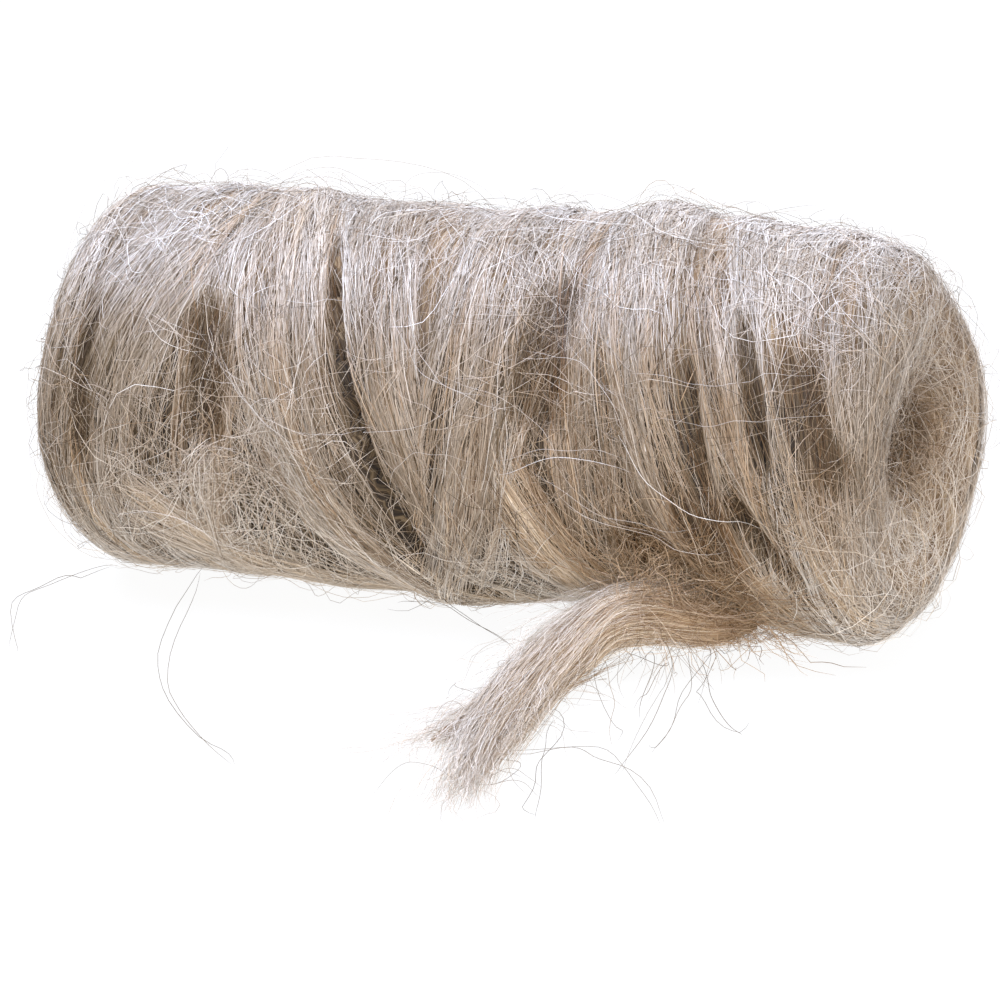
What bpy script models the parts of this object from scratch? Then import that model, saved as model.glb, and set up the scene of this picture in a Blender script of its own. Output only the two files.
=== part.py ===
"""Roll of plumbing hemp with a loose end, for Blender 4.5.

Combed hemp is wound criss-cross, in broad flat strands, on nothing but itself, so the roll is one
bumpy cylinder with a soft hollow in each end. The last stretch of the strand has come off the roll
and lies in front of it, frayed into two points.

The roll lies along X and rests at z = 0, on a narrow flat strip under its axis. Angles round it are
in degrees: 0 is the top, 90 the front (-Y), 180 the bottom and -90 the back (+Y).
"""
import math
from collections import namedtuple

import bmesh
import bpy

MM = 0.001

# ---- The roll: driving sizes in millimetres ----
AXIS_HEIGHT = 27.2      # the axis above the surface that the roll rests on
CORE_RADIUS = 26.0      # the winding below the outermost strands
LEFT_END = -63.2        # crest of the rounded rim at each end
RIGHT_END = 64.7
CORNER = 6.0            # rounding from the side to the rim
DISH_WIDTH = 13.5       # from the rim in to the hollow the end is dished, gently first and then steeply
DISH_DEPTH = 8.0
HOLLOW_RADIUS = 6.5     # the hollow at the bottom of the dish
HOLLOW_DEPTH = 28.0     # from the rim's crest to the bottom of the hollow
HOLLOW_TAPER = 0.42     # the hollow's radius at its bottom, as a share of that at its top
HOLLOW_FORWARD = 1.5    # how far in front of the axis the hollow lies
FOOT_SWELL = 1.8        # extra winding over the strip that the roll rests on
FOOT_HALF_ANGLE = 26.0
MATTING = 2.3           # loose matting that fills the grooves between strands over the top
MATTING_MIDDLE = -15.0
MATTING_HALF_ANGLE = 80.0
SURFACE_WAVE = 0.35     # unevenness of the winding between the strands
# How far the right end reaches or falls short along X at each eighth of a turn, from the top on
RIGHT_LEAN = (0.15, 0.3, -0.55, -1.0, -0.95, -0.3, 0.6, -1.9, 0.15)

TURN_STEPS = 72         # columns of faces round the roll
SIDE_STEPS = 26         # rows of faces along its side
ROUND_STEPS = 3         # rows in each corner
DISH_STEPS = 5          # rows across each dished end
WALL_STEPS = 4          # rows down each hollow's wall
RIM_SHARE = 0.25        # share of the strands' height that is left on the rim's crest

# ---- The outer strands ----
# A strand runs round the roll from one angle to another. Its centre line passes through five places
# along X, evenly spaced in angle. Half width and lift are given at its start, middle and end.
Strand = namedtuple("Strand", "name start end course half_width lift")

STRANDS = (
    Strand("left rim", -180, 180, (-60.0, -60.5, -58.5, -61.5, -60.0), (6.5, 7.0, 6.5), (1.4, 2.6, 1.2)),
    Strand("left sweep", -180, 180, (-50.0, -46.0, -41.5, -53.0, -47.0), (8.0, 9.5, 8.0), (1.5, 3.3, 0.8)),
    Strand("left filler", 15, 195, (-35.0, -34.0, -35.5, -37.5, -38.0), (4.5, 5.0, 5.0), (0.8, 1.1, 0.9)),
    Strand("left under", 84, 196, (-57.0, -46.0, -31.0, -12.0, 8.0), (5.0, 6.5, 6.0), (1.3, 1.3, 0.8)),
    Strand("left binder", -180, 180, (-52.0, -42.0, -29.5, -17.0, 3.0), (7.0, 7.5, 7.5), (2.0, 3.4, 1.8)),
    Strand("centre tuck", -100, 112, (-27.0, -23.0, -15.0, -8.0, 0.5), (5.5, 8.0, 5.0), (1.6, 2.7, 1.4)),
    Strand("centre sheaf", -180, 180, (14.0, 1.0, 8.0, 7.0, -9.0), (7.0, 11.0, 6.5), (2.0, 3.1, 1.6)),
    Strand("centre inner", -60, 122, (16.0, 18.0, 21.0, 24.5, 26.0), (6.0, 6.0, 5.0), (2.4, 1.9, 1.4)),
    Strand("centre under", 60, 198, (5.0, 13.0, 22.0, 31.0, 42.0), (5.5, 7.0, 6.5), (1.5, 2.3, 1.5)),
    Strand("right binder", -180, 180, (2.0, 17.0, 26.5, 40.0, 57.0), (7.0, 8.5, 6.5), (2.2, 5.1, 2.3)),
    Strand("right twin", -180, 180, (14.0, 27.0, 39.5, 53.5, 60.0), (6.5, 9.0, 5.5), (2.0, 3.5, 2.5)),
    Strand("right rim", -180, 180, (59.0, 57.0, 54.0, 61.5, 60.0), (6.0, 10.0, 6.0), (1.4, 1.3, 1.6)),
    Strand("back cross", -196, -14, (52.0, 38.0, 21.0, 6.0, -7.0), (6.5, 7.5, 6.0), (2.4, 3.2, 1.8)),
    Strand("back return", -196, -20, (-10.0, -20.0, -32.0, -45.0, -54.0), (6.5, 7.5, 6.0), (2.3, 3.0, 1.6)),
)

SHARE_OF_CREST = 6      # how sharply the higher of two crossing strands wins
STRAND_FALL = 0.7       # below 1, a strand's edge falls steeply into the groove beside it
TUCK_ANGLE = 18.0       # over which a strand dives under its neighbours at each end

# ---- The loose end ----
# Sections along it, from the root, against the roll's lower front, to the point. Each is an ellipse
# about a centre that stands so far above the surface, and it's cut flat where it lies on the surface.
Section = namedtuple("Section", "x y centre half_width half_height")

LOOSE_SECTIONS = (
    Section(46.0, -20.0, 6.0, 2.2, 3.0),
    Section(40.0, -23.2, 6.8, 3.2, 4.2),
    Section(33.5, -25.2, 8.4, 4.0, 4.8),
    Section(27.5, -27.0, 7.8, 4.6, 4.7),
    Section(22.8, -31.0, 5.0, 5.0, 4.3),
    Section(20.5, -38.5, 3.0, 5.0, 3.5),
    Section(20.4, -47.5, 2.0, 5.1, 3.0),
    Section(21.4, -57.0, 1.6, 4.4, 2.4),
    Section(23.0, -66.5, 1.2, 3.0, 1.8),
    Section(25.6, -75.0, 0.6, 0.9, 0.9),
)
FRAY_SECTIONS = (
    Section(20.0, -43.0, 1.8, 3.0, 2.5),
    Section(17.6, -49.5, 1.6, 3.0, 2.2),
    Section(14.9, -56.0, 1.2, 2.3, 1.7),
    Section(12.9, -60.5, 0.5, 0.9, 0.8),
)
RING_SIDES = 14         # corners of each section
SECTION_STEPS = 3       # rows of faces from one section to the next
ROOT_GAP = 0.6          # between the loose end's root and the roll above it

HEMP_TAN = (0.56, 0.47, 0.37, 1.0)
HEMP_HONEY = (0.64, 0.50, 0.34, 1.0)


# ---- Small helpers ----
def smooth(t):
    """Ease from 0 to 1."""
    t = min(max(t, 0.0), 1.0)
    return t * t * (3.0 - 2.0 * t)


def through(values, t):
    """A smooth curve through evenly spaced values, at t from 0 to 1."""
    last = len(values) - 1
    place = min(max(t, 0.0), 1.0) * last
    i = min(int(place), last - 1)
    f = place - i
    a = values[max(i - 1, 0)]
    b = values[i]
    c = values[i + 1]
    d = values[min(i + 2, last)]
    return 0.5 * (2 * b + (c - a) * f + (2 * a - 5 * b + 4 * c - d) * f ** 2
                  + (3 * b - a - 3 * c + d) * f ** 3)


def remove_all_objects():
    for obj in list(bpy.data.objects):
        bpy.data.objects.remove(obj, do_unlink=True)


def hemp_material(name, colour):
    """Dull combed bast fibre: rough, with no metal in it."""
    material = bpy.data.materials.new(name)
    material.use_nodes = True
    shader = material.node_tree.nodes["Principled BSDF"]
    shader.inputs["Base Color"].default_value = colour
    shader.inputs["Roughness"].default_value = 0.85
    shader.inputs["Metallic"].default_value = 0.0
    return material


def object_from_rings(name, rings, start_pole, end_pole):
    """A closed tube of rings, drawn in to a point at each end. Every ring turns the same way."""
    mesh = bpy.data.meshes.new(name)
    bm = bmesh.new()
    rows = [[bm.verts.new([c * MM for c in point]) for point in ring] for ring in rings]
    first = bm.verts.new([c * MM for c in start_pole])
    last = bm.verts.new([c * MM for c in end_pole])
    sides = len(rings[0])
    for i in range(sides):
        j = (i + 1) % sides
        bm.faces.new((first, rows[0][j], rows[0][i]))
        bm.faces.new((last, rows[-1][i], rows[-1][j]))
        for low, high in zip(rows, rows[1:]):
            bm.faces.new((low[i], low[j], high[j], high[i]))
    bmesh.ops.triangulate(bm, faces=bm.faces[:])
    bmesh.ops.recalc_face_normals(bm, faces=bm.faces[:])
    bm.to_mesh(mesh)
    bm.free()
    mesh.shade_smooth()
    obj = bpy.data.objects.new(name, mesh)
    bpy.context.scene.collection.objects.link(obj)
    return obj


# ---- The wound roll ----
def strand_height(strand, angle, x):
    """How far one strand stands above the core at an angle round the roll and a place along it."""
    span = strand.end - strand.start
    height = 0.0
    for turn in (-360.0, 0.0, 360.0):
        t = (angle + turn - strand.start) / span
        if not 0.0 < t < 1.0:
            continue
        step = 0.02
        slope = (through(strand.course, t + step) - through(strand.course, t - step)) / (
            2 * step * span * math.pi / 180.0 * CORE_RADIUS)
        off = (x - through(strand.course, t)) / math.sqrt(1.0 + slope ** 2)
        share = off / through(strand.half_width, t)
        if abs(share) >= 1.0:
            continue
        tuck = smooth(t * span / TUCK_ANGLE) * smooth((1.0 - t) * span / TUCK_ANGLE)
        height = max(height, through(strand.lift, t) * tuck * (1.0 - share ** 2) ** STRAND_FALL)
    return height


def winding_height(angle, x):
    """The strands and the unevenness between them, above the core."""
    total = sum(strand_height(strand, angle, x) ** SHARE_OF_CREST for strand in STRANDS)
    from_top = abs((angle - MATTING_MIDDLE + 180.0) % 360.0 - 180.0)
    matting = MATTING * smooth(1.6 * (1.0 - from_top / MATTING_HALF_ANGLE))
    total += (matting * smooth((RIGHT_END - abs(x)) / 16.0)) ** SHARE_OF_CREST
    turn = math.radians(angle)
    wave = math.sin(3 * turn + 0.16 * x) * math.cos(0.23 * x - 2 * turn)
    wave += 0.6 * math.sin(5 * turn - 0.31 * x)
    from_bottom = abs((angle % 360.0) - 180.0)
    foot = FOOT_SWELL * smooth(1.0 - from_bottom / FOOT_HALF_ANGLE)
    return max(total ** (1.0 / SHARE_OF_CREST), foot) + SURFACE_WAVE * wave


def end_profile(end, way):
    """Half of the core's outline at one end, from the hollow's bottom out to the side.

    Each point is (x, radius, outward x, outward radius, share of the strands' height, share of the
    hollow's shift). way is +1 at the right end and -1 at the left.
    """
    points = []
    wall_end = end - way * DISH_DEPTH
    wall_start = end - way * HOLLOW_DEPTH
    for i in range(WALL_STEPS + 1):
        t = i / (WALL_STEPS + 1)
        radius = HOLLOW_RADIUS * (HOLLOW_TAPER + (1.0 - HOLLOW_TAPER) * t ** 0.8)
        points.append((wall_start + (wall_end - wall_start) * t, radius, 0.0, -1.0, 0.0, 1.0))
    for i in range(DISH_STEPS + 1):
        turn = math.radians(90.0 * i / DISH_STEPS)
        out = (DISH_WIDTH * math.sin(turn), DISH_DEPTH * math.cos(turn))
        length = math.hypot(*out)
        points.append((wall_end + way * DISH_DEPTH * math.sin(turn),
                       HOLLOW_RADIUS + DISH_WIDTH * (1.0 - math.cos(turn)),
                       way * out[0] / length, -out[1] / length,
                       RIM_SHARE * i / DISH_STEPS, 1.0 - i / DISH_STEPS))
    for i in range(1, ROUND_STEPS + 1):
        turn = math.radians(90.0 * i / ROUND_STEPS)
        out_x = way * math.cos(turn)
        out_r = math.sin(turn)
        points.append((end - way * CORNER + CORNER * out_x, CORE_RADIUS - CORNER + CORNER * out_r,
                       out_x, out_r, RIM_SHARE + (1.0 - RIM_SHARE) * i / ROUND_STEPS, 0.0))
    return points


def core_profile():
    """The core's whole outline, from the bottom of the left hollow to that of the right one."""
    left = end_profile(LEFT_END, -1.0)
    right = end_profile(RIGHT_END, 1.0)
    start = left[-1][0]
    length = right[-1][0] - start
    side = [(start + length * i / SIDE_STEPS, CORE_RADIUS, 0.0, 1.0, 1.0, 0.0)
            for i in range(1, SIDE_STEPS)]
    return left + side + right[::-1]


def end_lean(angle, x):
    """The ends aren't square: how far they reach or fall short along X at each angle."""
    if x < 0.0:
        turn = math.radians(angle)
        left = math.cos(turn - math.radians(35.0)) + 0.5 * math.sin(3 * turn)
        return left * smooth((x + 40.0) / (LEFT_END + 40.0))
    right = through(RIGHT_LEAN, angle % 360.0 / 360.0)
    return right * smooth((x - 44.0) / (RIGHT_END - 44.0))


def roll_point(angle, row):
    """A point of the roll's surface, in millimetres."""
    x, radius, out_x, out_r, strand_share, hollow_share = row
    height = winding_height(angle, x) * strand_share
    radius += out_r * height
    turn = math.radians(angle)
    y = -radius * math.sin(turn) - HOLLOW_FORWARD * hollow_share
    z = AXIS_HEIGHT + radius * math.cos(turn)
    return (x + out_x * height + end_lean(angle, x), y, max(z, 0.0))


def clear_of_roll(x, y, z):
    """A point in front of the roll, moved straight out from the axis where it's within the gap."""
    from_axis = math.hypot(y, z - AXIS_HEIGHT)
    angle = math.degrees(math.atan2(-y, z - AXIS_HEIGHT))
    nearest = CORE_RADIUS + winding_height(angle, x) + ROOT_GAP
    if from_axis >= nearest:
        return (x, y, z)
    stretch = nearest / from_axis
    return (x, y * stretch, AXIS_HEIGHT + (z - AXIS_HEIGHT) * stretch)


def make_wound_roll():
    profile = core_profile()
    angles = [360.0 * i / TURN_STEPS for i in range(TURN_STEPS)]
    rings = [[roll_point(angle, row) for angle in angles] for row in profile]
    poles = []
    for row, way in ((profile[0], -1.0), (profile[-1], 1.0)):
        poles.append((row[0] - way * 1.2, -HOLLOW_FORWARD, AXIS_HEIGHT))
    return object_from_rings("wound_roll", rings, poles[0], poles[1])


# ---- The loose end ----
def tongue_rings(sections):
    """Rings of a rounded tongue that comes off the roll's front and lies down on the surface."""
    count = (len(sections) - 1) * SECTION_STEPS
    columns = list(zip(*sections))
    rings = []
    for i in range(count + 1):
        t = i / count
        x, y, centre, half_width, half_height = (through(column, t) for column in columns)
        ahead = [through(column, t + 0.01) - through(column, t - 0.01) for column in columns[:2]]
        length = math.hypot(ahead[0], ahead[1])
        across = (-ahead[1] / length, ahead[0] / length)
        ring = []
        for k in range(RING_SIDES):
            turn = 2.0 * math.pi * k / RING_SIDES
            px = x + across[0] * half_width * math.cos(turn)
            py = y + across[1] * half_width * math.cos(turn)
            pz = max(centre + half_height * math.sin(turn), 0.0)
            ring.append(clear_of_roll(px, py, pz))
        rings.append(ring)
    return rings


def make_tongue(name, sections):
    rings = tongue_rings(sections)
    poles = []
    for ring, beyond in ((rings[0], rings[1]), (rings[-1], rings[-2])):
        middle = [sum(p[i] for p in ring) / len(ring) for i in range(3)]
        next_middle = [sum(p[i] for p in beyond) / len(beyond) for i in range(3)]
        reach = [0.35 * (a - b) for a, b in zip(middle, next_middle)]
        poles.append((middle[0] + reach[0], middle[1] + reach[1], max(middle[2] + reach[2], 0.0)))
    return object_from_rings(name, rings, poles[0], poles[1])


def make_loose_end():
    """The tongue with its shorter frayed point, as one body."""
    tongue = make_tongue("loose_end", LOOSE_SECTIONS)
    fray = make_tongue("loose_end_fray_guide", FRAY_SECTIONS)
    fray.hide_render = True
    fray.display_type = "WIRE"
    union = tongue.modifiers.new("Fray", "BOOLEAN")
    union.operation = "UNION"
    union.solver = "EXACT"
    union.object = fray
    return tongue


def main():
    remove_all_objects()
    roll = make_wound_roll()
    roll.data.materials.append(hemp_material("Hemp tan", HEMP_TAN))
    loose = make_loose_end()
    loose.data.materials.append(hemp_material("Hemp honey", HEMP_HONEY))


main()
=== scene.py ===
"""The looks of a roll of plumbing hemp, laid out as a Blender add-on and run as a script.

The roll is a bed of matted fibre with thousands of separate bast fibres laid over it, strand by strand,
in the way the roll was wound. Lengths are in millimetres until they reach a mesh. Angles round the roll
are in degrees: 0 is the top, 90 the front (-Y), 180 the bottom and -90 the back (+Y).
"""

import math
from collections import namedtuple

import bmesh
import bpy
import numpy as np
from bpy.props import FloatProperty, FloatVectorProperty, IntProperty, PointerProperty
from mathutils import Matrix, Vector


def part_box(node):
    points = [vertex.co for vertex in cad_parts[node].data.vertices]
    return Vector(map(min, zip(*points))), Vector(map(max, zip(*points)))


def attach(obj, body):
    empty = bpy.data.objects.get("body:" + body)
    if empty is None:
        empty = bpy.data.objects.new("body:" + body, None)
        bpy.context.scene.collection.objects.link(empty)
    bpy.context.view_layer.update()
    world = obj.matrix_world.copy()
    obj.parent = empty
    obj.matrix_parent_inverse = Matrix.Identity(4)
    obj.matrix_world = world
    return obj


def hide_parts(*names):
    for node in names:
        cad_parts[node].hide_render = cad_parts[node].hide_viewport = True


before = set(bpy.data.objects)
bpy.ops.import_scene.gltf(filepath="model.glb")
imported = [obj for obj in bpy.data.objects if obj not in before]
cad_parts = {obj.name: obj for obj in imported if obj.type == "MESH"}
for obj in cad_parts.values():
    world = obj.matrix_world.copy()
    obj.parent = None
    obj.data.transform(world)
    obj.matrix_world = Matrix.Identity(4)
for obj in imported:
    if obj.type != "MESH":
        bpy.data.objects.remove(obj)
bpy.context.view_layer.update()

bl_info = {
    "name": "Plumbing hemp roll",
    "version": (1, 0, 0),
    "blender": (4, 5, 0),
    "location": "View3D > Sidebar > Hemp",
    "description": "Lays separate bast fibres over a wound roll of hemp and its loose end",
    "category": "Object",
}

MM = 0.001
BODY = "root"
ROLL_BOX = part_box("wound_roll")

# ---- The roll's own sizes, as its solid has them ----
AXIS_HEIGHT = 27.2
CORE_RADIUS = 26.0
LEFT_END = -63.2
RIGHT_END = 64.7
CORNER = 6.0
DISH_WIDTH = 13.5
DISH_DEPTH = 8.0
HOLLOW_RADIUS = 6.5
HOLLOW_DEPTH = 28.0
HOLLOW_TAPER = 0.42
HOLLOW_FORWARD = 1.5
RIM_SHARE = 0.25                    # share of the strands' height that is left on the rim's crest
FOOT_SWELL = 1.8                    # the underside is filled out to at least this height
FOOT_HALF_ANGLE = 26.0
MATTING = 2.3                       # loose matting that fills the grooves over the top
MATTING_MIDDLE = -15.0
MATTING_HALF_ANGLE = 80.0
MATTING_FADE = 16.0                 # it thins out over this distance before each end
SURFACE_WAVE = 0.35
RIGHT_LEAN = (0.15, 0.3, -0.55, -1.0, -0.95, -0.3, 0.6, -1.9, 0.15)   # by angle, from the top
LEFT_LEAN_ANGLE = 35.0              # the left end reaches furthest at this angle
LEFT_LEAN_START = -40.0             # a lean sets in here along X
RIGHT_LEAN_START = 44.0
LEFT_SIDE = LEFT_END + CORNER       # where the side turns into each rim
RIGHT_SIDE = RIGHT_END - CORNER
SIDES = {-1: LEFT_SIDE, 1: RIGHT_SIDE}
MIDDLE = 0.5 * (LEFT_END + RIGHT_END)
OVER_CORNER = 3.4                   # how much longer the way over a corner is than straight on
RIM_REACH = 0.5 * (RIGHT_END - LEFT_END) + OVER_CORNER   # from the middle to a rim, over a corner

# A strand runs round the roll from one angle to another. Its centre line passes through five places
# along X, evenly spaced in angle. Half width and lift are given at its start, middle and end. Warmth is
# how yellow its hemp is, from grey at 0 to honey at 1.
Strand = namedtuple("Strand", "name start end course half_width lift warmth")

STRANDS = (
    Strand("left_rim", -180, 180, (-60, -60.5, -58.5, -61.5, -60), (6.5, 7, 6.5), (1.4, 2.6, 1.2), 0.30),
    Strand("left_sweep", -180, 180, (-50, -46, -41.5, -53, -47), (8, 9.5, 8), (1.5, 3.3, 0.8), 0.08),
    Strand("left_filler", 15, 195, (-35, -34, -35.5, -37.5, -38), (4.5, 5, 5), (0.8, 1.1, 0.9), 0.35),
    Strand("left_under", 84, 196, (-57, -46, -31, -12, 8), (5, 6.5, 6), (1.3, 1.3, 0.8), 0.55),
    Strand("left_binder", -180, 180, (-52, -42, -29.5, -17, 3), (7, 7.5, 7.5), (2, 3.4, 1.8), 0.45),
    Strand("centre_tuck", -100, 112, (-27, -23, -15, -8, 0.5), (5.5, 8, 5), (1.6, 2.7, 1.4), 0.35),
    Strand("centre_sheaf", -180, 180, (14, 1, 8, 7, -9), (7, 11, 6.5), (2, 3.1, 1.6), 0.35),
    Strand("centre_inner", -60, 122, (16, 18, 21, 24.5, 26), (6, 6, 5), (2.4, 1.9, 1.4), 0.45),
    Strand("centre_under", 60, 198, (5, 13, 22, 31, 42), (5.5, 7, 6.5), (1.5, 2.3, 1.5), 0.70),
    Strand("right_binder", -180, 180, (2, 17, 26.5, 40, 57), (7, 8.5, 6.5), (2.2, 5.1, 2.3), 0.40),
    Strand("right_twin", -180, 180, (14, 27, 39.5, 53.5, 60), (6.5, 9, 5.5), (2, 3.5, 2.5), 0.30),
    Strand("right_rim", -180, 180, (59, 57, 54, 61.5, 60), (6, 10, 6), (1.4, 1.3, 1.6), 0.30),
    Strand("back_cross", -196, -14, (52, 38, 21, 6, -7), (6.5, 7.5, 6), (2.4, 3.2, 1.8), 0.40),
    Strand("back_return", -196, -20, (-10, -20, -32, -45, -54), (6.5, 7.5, 6), (2.3, 3, 1.6), 0.40),
)
CREST_POWER = 6             # the higher, the more sharply strands meet
STRAND_FALL = 0.7           # how roundly a strand falls to its edges
TUCK_ANGLE = 18.0           # over this angle a strand comes out from under the others

# A groove is a dark gap that opens between strands: few fibres cross it and the bed lies deeper in it, and
# the fibres in it are painted darker as painted shade. Its course is given as a strand's is. Gap is how
# much of its width is left open, from 0 to 1.
Groove = namedtuple("Groove", "start end course half_width depth gap")

GROOVES = (
    Groove(14, 156, (-19.6, -15.2, -9, -2.8, 4.4), 0.85, 5.2, 0.99),
    Groove(22, 78, (17.5, 17, 17.6), 3.6, 1.6, 0.25),
    Groove(48, 92, (38.8, 41.3, 43.5), 1.3, 1.8, 0.5),
    Groove(36, 84, (46, 49.6, 52.5), 1.4, 1.8, 0.5),
    Groove(42, 92, (54, 58, 62), 2.6, 1.6, 0.3),
    Groove(88, 120, (46.5, 51, 56.5), 1.5, 2.4, 0.7),
    Groove(40, 92, (-36, -34.6, -35.4), 3.4, 1.2, 0.1),
    Groove(40, 100, (-54.6, -54.2, -54.6), 1.6, 0.6, 0),
    Groove(100, 142, (31, 36, 41.5), 4.6, 1.5, 0.3),
    # Painted shade: this one is shallow and leaves little open; it mostly darkens the fibres over it.
    Groove(86, 130, (42.5, 43.5, 45.5), 4.6, 0.3, 0.06),
    Groove(-150, -40, (-38, -30, -24), 1.8, 1.8, 0.5),
    Groove(-140, -60, (30, 33, 40), 1.8, 1.8, 0.5),
    Groove(-165, -95, (8, 2, -4), 1.6, 1.6, 0.5),
)

# Where the hemp is matted into curls: how far each patch reaches, how many fibres curl in it, and how
# light and how yellow they are.
Tangle = namedtuple("Tangle", "angle x half_angle half_width count tone warmth")

TANGLES = (
    Tangle(94, -27.5, 26, 7.5, 300, 0.80, 0.4),
    Tangle(100, -42, 22, 9, 200, 0.78, 0.4),
    Tangle(124, 6, 10, 8, 90, 0.68, 0.5),
    Tangle(36, 20, 13, 6, 110, 0.66, 0.2),
    Tangle(76, 25, 18, 7, 130, 0.60, 0.5),
    Tangle(98, 61, 20, 6, 170, 0.62, 0.6),
    # Painted shade: these two, low by the loose end's root, are painted dark and yellow for the shade
    # there.
    Tangle(116, 35, 16, 7.5, 260, 0.54, 1),
    Tangle(127, 45, 12, 7, 190, 0.46, 1),
    Tangle(10, 5, 16, 30, 120, 0.70, 0.2),
    Tangle(20, 58, 24, 8, 150, 0.74, 0.2),
    Tangle(-30, -50, 20, 10, 70, 0.66, 0.3),
    Tangle(-75, -12, 26, 9, 130, 0.62, 0.5),
    Tangle(-115, 34, 24, 10, 110, 0.60, 0.5),
    Tangle(-140, -44, 20, 9, 80, 0.60, 0.5),
    # Painted light: this one, high at the left, is painted pale and grey for the sheen there.
    Tangle(16, -47, 26, 10, 110, 0.84, 0.1),
)

# Long hairs that lie over everything, from one place to another, bowed sideways and up.
Stray = namedtuple("Stray", "angle x end_angle end_x bow lift")

STRAYS = (
    Stray(80, -20, 60, 12, 3.5, 1.2),
    Stray(88, 12, 84, 32, -2, 1.6),
    Stray(68, 36, 62, 61, 1.5, 1.4),
    Stray(60, -33, 88, -16, 1, 1.4),
    Stray(92, 20, 104, 46, 2.5, 1.5),
    Stray(52, 14, 80, 34, -4, 1.8),
    Stray(46, -4, 70, 14, 3, 1.2),
    Stray(96, -6, 84, 8, -3, 1.6),
    Stray(30, -45, 64, -50, 4, 1.5),
    Stray(74, 30, 100, 52, 2, 1.3),
    Stray(-8, -56, 14, -30, 5, 6),
    Stray(0, -34, 16, -24, -4, 5),
    Stray(-6, 5, 10, 26, 6, 4.5),
    Stray(4, 34, -4, 52, 5, 4),
    Stray(112, -52, 128, -30, -5, 3),
    Stray(-70, -30, -96, 6, 5, 1.8),
    Stray(-110, 10, -80, 44, -6, 1.6),
)

# Long hairs that trail over the surface in front of the roll: where each starts, bends and ends.
FloorHair = namedtuple("FloorHair", "x y bend_x bend_y end_x end_y rise")

FLOOR_HAIRS = (
    FloorHair(-48, -8, -31, -50, -10.5, -73, 1),
    FloorHair(-61, -8, -68, -24, -61, -42, 1.5),
    FloorHair(-14, -12, -2, -17, 10, -24, 2),
    FloorHair(30, -15, 41, -40, 42, -62, 3),
    FloorHair(34, -16, 42, -36, 45, -55, 2),
    FloorHair(23, -24, 32, -40, 38, -53, 3),
    FloorHair(30, -24, 36, -33, 37.5, -44, 4),
    FloorHair(38, -21, 45, -36, 53.5, -45, 1),
    FloorHair(23, -60, 38, -57, 55, -77, 1),
    FloorHair(26, -47, 32, -62, 38, -80, 1.5),
)

# Sections along the loose end, from its root against the roll's lower front to its point.
Section = namedtuple("Section", "x y centre half_width half_height")

LOOSE_SECTIONS = (
    Section(46, -20, 6, 2.2, 3),
    Section(40, -23.2, 6.8, 3.2, 4.2),
    Section(33.5, -25.2, 8.4, 4, 4.8),
    Section(27.5, -27, 7.8, 4.6, 4.7),
    Section(22.8, -31, 5, 5, 4.3),
    Section(20.5, -38.5, 3, 5, 3.5),
    Section(20.4, -47.5, 2, 5.1, 3),
    Section(21.4, -57, 1.6, 4.4, 2.4),
    Section(23, -66.5, 1.2, 3, 1.8),
    Section(25.6, -75, 0.6, 0.9, 0.9),
)
FRAY_SECTIONS = (
    Section(20, -43, 1.8, 3, 2.5),
    Section(17.6, -49.5, 1.6, 3, 2.2),
    Section(14.9, -56, 1.2, 2.3, 1.7),
    Section(12.9, -60.5, 0.5, 0.9, 0.8),
)

# Painted light and shade: how much lighter and how much yellower the fibres are painted round the roll,
# for how light falls on it, from the top over the front.
PAINTED_LIGHT_ROUND_TONE = (0.02, -0.09, -0.11, 0.18, 0.18, 0.07, 0.0, 0.0, 0.02)
PAINTED_LIGHT_ROUND_WARMTH = (-0.12, -0.12, -0.04, 0.16, 0.18, 0.10, 0.0, -0.06, -0.12)

# What each kind of fibre is like: how light and how far about that, how yellow, how thick as shares of
# the radius that is set, and how much darker in full shade. A tangle's tone and warmth are added to its
# patch's, and a flyaway's tone gives way to its set's.
Kind = namedtuple("Kind", "tone spread warmth thinnest thickest shaded")

LAID = Kind(0.52, 0.07, 0.00, 0.60, 1.25, 0.30)
FILLING = Kind(0.55, 0.09, 0.35, 0.50, 1.00, 0.30)
TANGLED = Kind(0.00, 0.09, 0.20, 0.30, 0.68, 0.15)
FUZZ = Kind(0.62, 0.12, 0.30, 0.30, 0.62, 0.10)
END = Kind(0.63, 0.10, 0.35, 0.40, 0.85, 0.40)
FLYAWAY = Kind(0.50, 0.12, 0.20, 0.45, 0.95, 0.0)
STRUNG = Kind(0.55, 0.12, 0.40, 0.70, 1.20, 0.0)
TRAILING = Kind(0.26, 0.06, 0.20, 0.80, 1.15, 0.0)
LOOSE = Kind(0.66, 0.12, 0.40, 0.30, 0.60, 0.20)
FLUFF = Kind(0.66, 0.12, 0.35, 0.28, 0.55, 0.30)
# Painted shade: the root's fibres are painted darker and browner for the shade in the pocket.
ROOT = Kind(0.44, 0.09, 0.85, 0.35, 0.80, 0.0)
CURL = Kind(0.36, 0.12, 0.35, 0.45, 0.80, 0.0)

# Sets of hairs that stand off the roll: what each adds to the seed, how many, between which angles and
# which lengths, how high, with how many points, and how light.
Flyaways = namedtuple("Flyaways", "seed count angles lengths height points tone")

FLYAWAYS = (
    Flyaways(61, 700, (0, 360), (4, 16), 2.6, 7, 0.50),
    Flyaways(65, 620, (-75, 20), (4, 13), 3.4, 7, 0.40),
    Flyaways(66, 260, (120, 200), (4, 14), 2.6, 7, 0.35),
    Flyaways(62, 130, (-70, 180), (18, 50), 6, 16, 0.40),
)
RIM_FLYAWAYS = Flyaways(55, 330, (0, 360), (5, 14), 3.4, 8, 0.66)
FLYAWAY_REACH = 12.0        # flyaways start up to this far past the sides,
RIM_FLYAWAY_REACH = (4.0, 26.0)   # and those of the rims between these distances past them

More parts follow.
